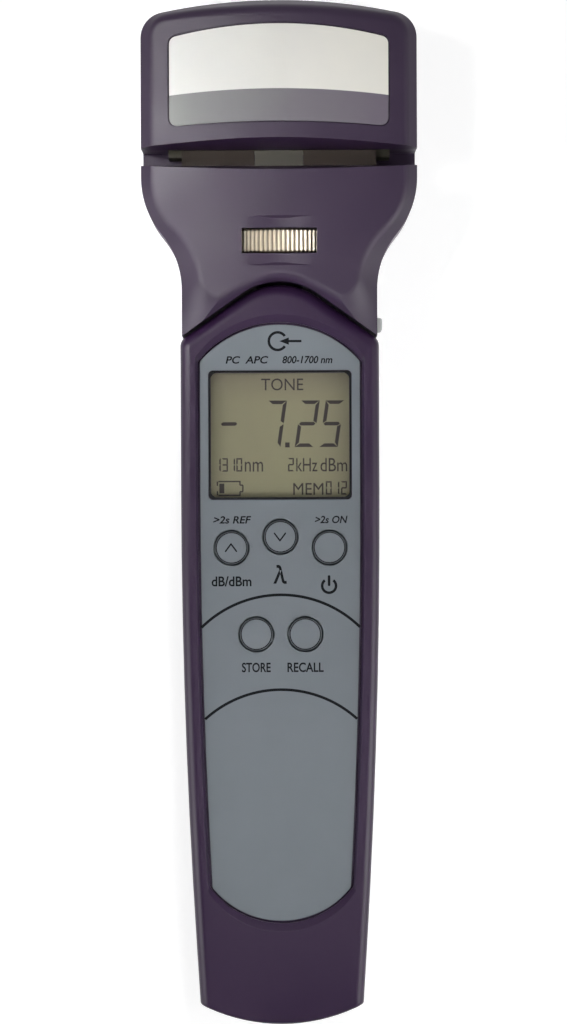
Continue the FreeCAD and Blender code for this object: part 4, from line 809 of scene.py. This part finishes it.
legends = [
    ink_arc((-0.4 * MM, SYMBOL_Y), 1.69 * MM, math.pi, math.radians(290.0), SIGN_LINE),
    ink_bar((1.2 * MM, SYMBOL_Y), (4.17 * MM, SYMBOL_Y), ARROW_LINE, PANEL_FACE, INK_DEPTH, False),
    arrow_head((-0.06 * MM, SYMBOL_Y), 1.8 * MM, 0.7 * MM),
    panel_words("PC  APC", -10.4, -2.2, *RANGE_ROW, SMALL_SLANT),
    panel_words("800-1700 nm", 0.5, 10.1, *RANGE_ROW, SMALL_SLANT),
    panel_words(">2s REF", -12.9, -5.6, *HINT_ROW, SMALL_SLANT),
    panel_words(">2s ON", 6.6, 12.9, *HINT_ROW, SMALL_SLANT),
    panel_words("λ", -1.4, 1.2, -13.8, -10.15, 0.12),
    panel_words("dB/dBm", -13.25, -5.6, -14.25, -12.3),
    ink_arc((POWER_X, -14.2 * MM), 1.33 * MM, -0.5 * math.pi, math.radians(285.0), SIGN_LINE),
    ink_bar((POWER_X, -14.0 * MM), (POWER_X, -12.4 * MM), SIGN_LINE, PANEL_FACE, INK_DEPTH),
    ink_arc((0.0, -15.9 * MM - RULE_RADIUS), RULE_RADIUS, 0.5 * math.pi, math.radians(89.0), RULE_LINE),
    ink_arc((0.0, -34.1 * MM - RULE_RADIUS), RULE_RADIUS, 0.5 * math.pi, math.radians(84.5), RULE_LINE),
    panel_words("STORE", -7.5, -1.96, *STORE_ROW),
    panel_words("RECALL", 1.25, 8.2, *STORE_ROW),
]
panel_print = join_as("panel_print", legends, print_and_rim_shade)
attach(panel_print, "handset")


# Case screws: four self-tapping screws of blackened steel with cross-recessed heads, driven from
# the back into columns of the front shell.

SCREW_HEAD_RADIUS = 2.1 * MM
SCREW_HEAD_FACE = 1.4 * MM
SCREW_HEAD_SEAT = 3.0 * MM
SCREW_HEAD_DOME = 0.45 * MM
SHANK_RADIUS = 1.1 * MM
THREAD_STEP = 0.4 * MM
THREAD_ROOT = 0.82
TIP_HEIGHT = 0.3 * MM
TIP_WIDTH = 0.5
RECESS_WIDTH = 0.62 * MM
RECESS_LENGTH = 2.5 * MM
RECESS_DEPTH = 1.0 * MM
RECESS_TAPER = 0.55
PICK_DEPTH = 0.1 * MM
SMOOTH_ANGLE = math.radians(40.0)
STEEL_BLACK = (0.055, 0.053, 0.052, 1.0)
STEEL_WORN = (0.09, 0.085, 0.08, 1.0)

blackened_steel = worked_metal(
    "blackened_steel", STEEL_BLACK, STEEL_WORN,
    roughness=0.36, lines=2600.0, stretch=(1.0, 1.0, 1.0), depth=0.3,
)


def take(piece):
    """Make one piece the only selected and active one."""
    bpy.ops.object.select_all(action="DESELECT")
    piece.select_set(True)
    bpy.context.view_layer.objects.active = piece


def cut_away(piece, tool):
    """Cut a tool's shape out of a piece and take the tool away."""
    take(piece)
    cut = piece.modifiers.new("cut", "BOOLEAN")
    cut.operation = "DIFFERENCE"
    cut.solver = "EXACT"
    cut.object = tool
    bpy.ops.object.modifier_apply(modifier=cut.name)
    bpy.data.objects.remove(tool)


def screw_model(name, tip_z):
    """A screw on the Z axis: a domed head with a cross recess, a threaded shank and a blunt tip."""
    bpy.ops.object.select_all(action="DESELECT")
    depth = SCREW_HEAD_SEAT - SCREW_HEAD_FACE
    bpy.ops.mesh.primitive_cylinder_add(
        vertices=40,
        radius=SCREW_HEAD_RADIUS,
        depth=depth,
        location=(0.0, 0.0, SCREW_HEAD_FACE + 0.5 * depth),
    )
    screw = bpy.context.object
    screw.name = name
    bpy.ops.object.transform_apply(location=True, rotation=True, scale=True)
    select_where(screw, lambda co: co.z < SCREW_HEAD_FACE + PICK_DEPTH)
    bpy.ops.mesh.bevel(offset=SCREW_HEAD_DOME, segments=4, profile=0.5)
    select_where(screw, lambda co: co.z > SCREW_HEAD_SEAT - PICK_DEPTH)
    bpy.ops.mesh.select_mode(type="FACE")
    bpy.ops.mesh.inset(thickness=SCREW_HEAD_RADIUS - SHANK_RADIUS)
    turns = int((tip_z - TIP_HEIGHT - SCREW_HEAD_SEAT) / THREAD_STEP)
    for turn in range(turns):
        width = THREAD_ROOT if turn % 2 == 0 else 1.0 / THREAD_ROOT
        bpy.ops.mesh.extrude_region_move(TRANSFORM_OT_translate={"value": (0.0, 0.0, THREAD_STEP)})
        bpy.ops.transform.resize(value=(width, width, 1.0))
    bpy.ops.mesh.extrude_region_move(TRANSFORM_OT_translate={"value": (0.0, 0.0, TIP_HEIGHT)})
    bpy.ops.transform.resize(value=(TIP_WIDTH, TIP_WIDTH, 1.0))
    bpy.ops.object.mode_set(mode="OBJECT")
    for size in ((RECESS_LENGTH, RECESS_WIDTH), (RECESS_WIDTH, RECESS_LENGTH)):
        bpy.ops.object.select_all(action="DESELECT")
        bpy.ops.mesh.primitive_cube_add(size=1.0, location=(0.0, 0.0, 0.0))
        blade = bpy.context.object
        blade.scale = (size[0], size[1], 2.0 * RECESS_DEPTH)
        blade.location = (0.0, 0.0, SCREW_HEAD_FACE)
        bpy.ops.object.transform_apply(location=True, rotation=True, scale=True)
        select_where(blade, lambda co: co.z > SCREW_HEAD_FACE)
        bpy.ops.transform.resize(value=(RECESS_TAPER, RECESS_TAPER, 1.0))
        bpy.ops.object.mode_set(mode="OBJECT")
        cut_away(screw, blade)
    take(screw)
    bpy.ops.object.shade_smooth_by_angle(angle=SMOOTH_ANGLE)
    coat(screw, blackened_steel)
    return screw


def drive_screws(model, name, places, turns, body, node):
    """Copy a screw to each of its holes, each turned as its driver left it."""
    for number, (place, turn) in enumerate(zip(places, turns), 1):
        screw = own_copy(model)
        screw.name = name + "_" + str(number)
        screw.data.name = screw.name
        at = Matrix.Translation((place[0] * MM, place[1] * MM, 0.0))
        screw.data.transform(at @ Matrix.Rotation(math.radians(turn), 4, "Z"))
        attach(screw, body)
        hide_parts(node)
    bpy.data.objects.remove(model)


drive_screws(
    screw_model("case_screw_model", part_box("case_screws")[1].z),
    "case_screw",
    [(-11.0, 32.15), (11.0, 32.15), (-11.0, -14.45), (11.0, -14.45)],
    [12.0, 57.0, 80.0, 31.0],
    "handset",
    "case_screws",
)


# Rear shell of the head, moulded in the same plum ABS from a tool with a coarser spark finish. It
# plugs on to the handset's light port and carries the posts of the clamp.

plum_head = moulded_plastic(
    "plum_head", PLUM, PLUM_PATCH, PLUM_RUBBED, roughness=0.46, grains=2800.0, depth=0.8, shine=0.65
)
dress(plum_head, "head_rear_shell")


# Thumb wheel with its thrust washers. The wheel is knurled brass, matt nickel-plated, and coloured
# darker towards the roots of its grooves. It is the nut of the lead screw and runs between two hardened
# washers.

WHEEL_MIDDLE = (0.0, 51.95 * MM, 19.8 * MM)
WHEEL_RADIUS = 13.0 * MM
KNURL_DEPTH = 0.32 * MM
KNURL_EDGE = 0.06 * MM
WARM_NICKEL = (0.80, 0.725, 0.60, 1.0)
WARM_NICKEL_DULL = (0.70, 0.62, 0.50, 1.0)
GROOVE_ROOT_DARK = (0.20, 0.165, 0.125, 1.0)
GROUND_STEEL = (0.50, 0.49, 0.47, 1.0)
GROUND_DULL = (0.38, 0.37, 0.35, 1.0)

knurled_nickel, tree, place = start_finish("knurled_nickel")
spoke = reckon_vector(tree, "SUBTRACT", place, WHEEL_MIDDLE)
flat_spoke = reckon_vector(tree, "MULTIPLY", spoke, (1.0, 0.0, 1.0))
from_axis = reckon_vector(tree, "LENGTH", flat_spoke, gives="Value")
groove = spread(
    tree, from_axis, 1.0, 0.0, WHEEL_RADIUS - KNURL_DEPTH, WHEEL_RADIUS - 0.35 * KNURL_DEPTH
)
blasted = shader_node(
    tree,
    "ShaderNodeGroup",
    {"Place": place, "Grains": 5200.0, "Patches": 500.0},
    node_tree=moulded_grain,
)
wheel_edge = shader_node(tree, "ShaderNodeGroup", {"Radius": KNURL_EDGE}, node_tree=rubbed_edges)
plating = blend_colour(tree, blasted.outputs["Mottle"], WARM_NICKEL, WARM_NICKEL_DULL)
close_finish(
    tree,
    {
        "Base Color": blend_colour(tree, groove, plating, GROOVE_ROOT_DARK),
        "Metallic": 1.0,
        "Roughness": spread(tree, groove, 0.42, 0.62),
        "Normal": raised(tree, 0.5, GRAIN_HEIGHT, blasted.outputs["Height"], wheel_edge.outputs["Normal"]),
    },
)
ground_steel = worked_metal(
    "ground_steel", GROUND_STEEL, GROUND_DULL,
    roughness=0.28, lines=2200.0, stretch=(10.0, 1.0, 1.0), depth=0.25,
)
dress(knurled_nickel, "thumb_wheel")
dress(ground_steel, "thrust_washers")


# Clamp: a pressed steel frame on posts of the head, a lead screw with a rolled thread, and the
# sliding jaw it moves, which is dark filled nylon on two ground pins with a smoked light guide.

JAW_BROWN = (0.032, 0.022, 0.017, 1.0)
JAW_PATCH = (0.038, 0.027, 0.021, 1.0)
JAW_RUBBED = (0.10, 0.085, 0.075, 1.0)
THREAD_RIDGES = 1.0 / (2.0 * MM)
RIDGE_HEIGHT = 0.15 * MM
RIDGE_DARK = (0.20, 0.19, 0.17, 1.0)
RIDGE_BRIGHT = (0.46, 0.44, 0.40, 1.0)
GUIDE_GREY = (0.070, 0.064, 0.051, 1.0)
GUIDE_PALE = (0.086, 0.079, 0.063, 1.0)
GUIDE_RUBBED = (0.18, 0.18, 0.15, 1.0)

filled_nylon = moulded_plastic(
    "filled_nylon", JAW_BROWN, JAW_PATCH, JAW_RUBBED,
    roughness=0.6, grains=3600.0, depth=0.3, radius=0.08 * MM, shine=0.25,
)
rolled_thread, tree, place = start_finish("rolled_thread")
ridges = shader_node(
    tree,
    "ShaderNodeTexWave",
    {"Vector": place, "Scale": THREAD_RIDGES, "Distortion": 0.0},
    bands_direction="Y",
).outputs["Fac"]
close_finish(
    tree,
    {
        "Base Color": blend_colour(tree, ridges, RIDGE_DARK, RIDGE_BRIGHT),
        "Metallic": 1.0,
        "Roughness": spread(tree, ridges, 0.45, 0.25),
        "Normal": raised(tree, 0.8, RIDGE_HEIGHT, ridges),
    },
)
light_guide = moulded_plastic(
    "light_guide", GUIDE_GREY, GUIDE_PALE, GUIDE_RUBBED,
    roughness=0.3, grains=1800.0, depth=0.1, radius=0.06 * MM,
)
dress(ground_steel, "clamp_frame", "guide_pins")
dress(rolled_thread, "lead_screw")
dress(filled_nylon, "clamp_slider")
dress(light_guide, "light_guide")


# Neck cover, moulded in plum ABS with the wheel's window and a shallow thumb scoop. It drops over
# the clamp from the front and is drawn down by two screws from the back.

dress(plum_head, "neck_front_cover")


# Upper jaw and cap cover. The fixed jaw is grey filled nylon hung by its flanges in the cap, and the
# cap is moulded in plum ABS with a shallow recess for its label.

UPPER_JAW = (0.050, 0.046, 0.031, 1.0)
UPPER_JAW_PATCH = (0.043, 0.040, 0.027, 1.0)
UPPER_JAW_RUBBED = (0.12, 0.115, 0.095, 1.0)

jaw_grey = moulded_plastic(
    "jaw_grey", UPPER_JAW, UPPER_JAW_PATCH, UPPER_JAW_RUBBED,
    roughness=0.55, grains=3600.0, depth=0.25, radius=0.08 * MM, shine=0.25,
)
dress(jaw_grey, "upper_jaw")
dress(plum_head, "cap_front_cover")


# Cap label: a printed polycarbonate foil in a white and a grey field with a curved border, stuck
# in the recess of the cap. It carries no words.

LABEL_WHITE = (0.66, 0.655, 0.64, 1.0)
LABEL_WHITE_PAINTED_LIGHT = (0.78, 0.76, 0.69, 1.0)
LABEL_GREY = (0.19, 0.194, 0.187, 1.0)
LABEL_GREY_PAINTED_SHADE = (0.145, 0.119, 0.160, 1.0)
FIELD_PEAK = 81.05 * MM
FIELD_DROP = 0.0029 / MM
LABEL_HALF = 21.0 * MM

label_print, tree, place = start_finish("label_print")
spot = shader_node(tree, "ShaderNodeSeparateXYZ", {"Vector": place}).outputs
drop = reckon(tree, "MULTIPLY", reckon(tree, "POWER", spot["X"], 2.0), FIELD_DROP)
lower_field = reckon(tree, "LESS_THAN", reckon(tree, "ADD", spot["Y"], drop), FIELD_PEAK)
label_grain = shader_node(
    tree,
    "ShaderNodeGroup",
    {"Place": place, "Grains": 6000.0, "Patches": 140.0},
    node_tree=moulded_grain,
)
# Painted light: both fields change tone from the label's left edge to its right edge, the white one lighter
# and warmer and the grey one darker and more purple, to stand in for how light falls across it. The grain's
# mottle adds a random part.
painted_light_and_mottle = reckon(
    tree,
    "ADD",
    spread(tree, spot["X"], 0.0, 0.8, -LABEL_HALF, LABEL_HALF),
    spread(tree, label_grain.outputs["Mottle"], 0.0, 0.2),
)
white_field = blend_colour(tree, painted_light_and_mottle, LABEL_WHITE, LABEL_WHITE_PAINTED_LIGHT)
grey_field = blend_colour(tree, painted_light_and_mottle, LABEL_GREY, LABEL_GREY_PAINTED_SHADE)
close_finish(
    tree,
    {
        "Base Color": blend_colour(tree, lower_field, white_field, grey_field),
        "Roughness": spread(tree, label_grain.outputs["Mottle"], 0.38, 0.46),
        "Normal": raised(tree, 0.12, GRAIN_HEIGHT, label_grain.outputs["Height"]),
    },
)
dress(label_print, "cap_label")


# Head screws: four more of the blackened screws, driven from the back through the head's rear
# shell into the two covers.

drive_screws(
    screw_model("head_screw_model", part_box("head_screws")[1].z),
    "head_screw",
    [(-19.0, 86.05), (19.0, 86.05), (-19.3, 55.45), (19.3, 55.45)],
    [44.0, 5.0, 66.0, 23.0],
    "head",
    "head_screws",
)


# Lock slide at the end of the seam: a pale acetal tab in a slot of the head, which the thumb
# pushes to free the head from the handset.

TAB_PALE = (0.60, 0.62, 0.61, 1.0)
TAB_PATCH = (0.55, 0.57, 0.57, 1.0)
TAB_RUBBED = (0.72, 0.73, 0.72, 1.0)

tab_acetal = moulded_plastic(
    "tab_acetal", TAB_PALE, TAB_PATCH, TAB_RUBBED, roughness=0.4, grains=4000.0, depth=0.2
)
dress(tab_acetal, "lock_slide")


# Floor, light and camera of the picture. The floor is a pale sweep of paper on glass. Two gridded
# softboxes light the head from its left and two the handset from above, upright ones stand along its
# sides, and one under the glass lights the back. The camera looks straight down on the keypad.

FLOOR_PAPER = (0.46, 0.46, 0.46, 1.0)
FLOOR_LIFT = 0.75
FLOOR_SIZE = 12.0
FLOOR_LEVEL = -0.3 * MM
GLOW_WHITE = (1.0, 1.0, 1.0, 1.0)

bpy.ops.object.select_all(action="DESELECT")
bpy.ops.mesh.primitive_plane_add(size=FLOOR_SIZE, location=(0.0, 0.0, FLOOR_LEVEL))
floor = bpy.context.object
floor.name = "floor"
floor_paper = bpy.data.materials.new("floor_paper")
floor_paper.use_nodes = True
tree = floor_paper.node_tree
tree.nodes.clear()
ray = shader_node(tree, "ShaderNodeLightPath").outputs
seen = reckon(tree, "MAXIMUM", ray["Is Camera Ray"], ray["Is Glossy Ray"])
shown = reckon(tree, "MAXIMUM", seen, ray["Is Transmission Ray"])
lift = reckon(tree, "MULTIPLY", shown, FLOOR_LIFT)
paper = shader_node(tree, "ShaderNodeBsdfDiffuse", {"Color": FLOOR_PAPER})
glow = shader_node(tree, "ShaderNodeEmission", {"Color": GLOW_WHITE, "Strength": lift})
upper_side = shader_node(tree, "ShaderNodeAddShader", {0: paper.outputs[0], 1: glow.outputs[0]})
under_side = shader_node(tree, "ShaderNodeBsdfTransparent")
seen_from_below = shader_node(tree, "ShaderNodeNewGeometry").outputs["Backfacing"]
let_through = reckon(tree, "MAXIMUM", seen_from_below, ray["Is Shadow Ray"])
sided = shader_node(
    tree, "ShaderNodeMixShader", {0: let_through, 1: upper_side.outputs[0], 2: under_side.outputs[0]}
)
shader_node(tree, "ShaderNodeOutputMaterial", {"Surface": sided.outputs[0]})
floor.data.materials.append(floor_paper)

ROOM_LEVELS = ((0.0, 0.0), (0.49, 0.0), (0.5, 0.05), (0.77, 0.6), (0.92, 0.12), (1.0, 0.10))

studio = bpy.data.worlds.new("studio")
bpy.context.scene.world = studio
studio.use_nodes = True
tree = studio.node_tree
tree.nodes.clear()
direction = shader_node(tree, "ShaderNodeTexCoord").outputs["Generated"]
height = shader_node(tree, "ShaderNodeSeparateXYZ", {"Vector": direction}).outputs["Z"]
levels = shader_node(tree, "ShaderNodeValToRGB", {"Fac": spread(tree, height, 0.0, 1.0, -1.0, 1.0)})
stops = levels.color_ramp.elements
while len(stops) < len(ROOM_LEVELS):
    stops.new(1.0)
for stop, (position, level) in zip(stops, ROOM_LEVELS):
    stop.position = position
    stop.color = (level, level, level, 1.0)
room = shader_node(tree, "ShaderNodeBackground", {"Color": levels.outputs["Color"], "Strength": 1.0})
shader_node(tree, "ShaderNodeOutputWorld", {"Surface": room.outputs[0]})

# Each lamp: its name, its place, the point it faces, its two sides, its grid's angle and its power.
LAMP_SPOTS = (
    ("head_softbox", (-0.195, 0.11, 0.46), (-0.020, 0.068, 0.03), (0.09, 0.09), 14.0, 0.0140),
    ("crest_softbox", (-0.365, 0.06, 0.32), (-0.022, 0.055, 0.03), (0.06, 0.10), 10.0, 0.0042),
    ("display_softbox", (0.055, -0.20, 0.55), (0.0, -0.002, 0.03), (0.12, 0.12), 12.0, 0.0104),
    ("foot_softbox", (0.070, 0.13, 0.55), (0.0, -0.085, 0.03), (0.12, 0.12), 12.0, 0.0138),
    ("left_wall", (-0.335, -0.085, 0.215), (0.0, -0.085, 0.03), (0.135, 0.35), 180.0, 0.53),
    ("right_wall", (0.335, -0.085, 0.215), (0.0, -0.085, 0.03), (0.135, 0.35), 180.0, 0.62),
    ("under_softbox", (0.25, 0.10, -0.80), (0.0, 0.0, 0.0), (0.60, 0.60), 180.0, 4.5),
)
for name, stand, aim, sides, grid, power in LAMP_SPOTS:
    bpy.ops.object.light_add(type="AREA", location=stand)
    lamp = bpy.context.object
    lamp.name = name
    lamp.data.shape = "RECTANGLE"
    lamp.data.size, lamp.data.size_y = sides
    lamp.data.spread = math.radians(grid)
    lamp.data.energy = power
    lamp.rotation_mode = "QUATERNION"
    lamp.rotation_quaternion = (Vector(stand) - Vector(aim)).to_track_quat("Z", "Y")

CAMERA_PLACE = (0.70 * MM, 0.0, 1.120)
CAMERA_TURN = (0.0, 0.0, math.radians(-0.22))
CAMERA_LENS = 200.0
CAMERA_SENSOR = 36.0

bpy.ops.object.camera_add(location=CAMERA_PLACE, rotation=CAMERA_TURN)
camera = bpy.context.object
camera.name = "photo_camera"
camera.data.lens = CAMERA_LENS
camera.data.sensor_width = CAMERA_SENSOR
bpy.context.scene.camera = camera
bpy.context.scene.view_settings.view_transform = "Standard"
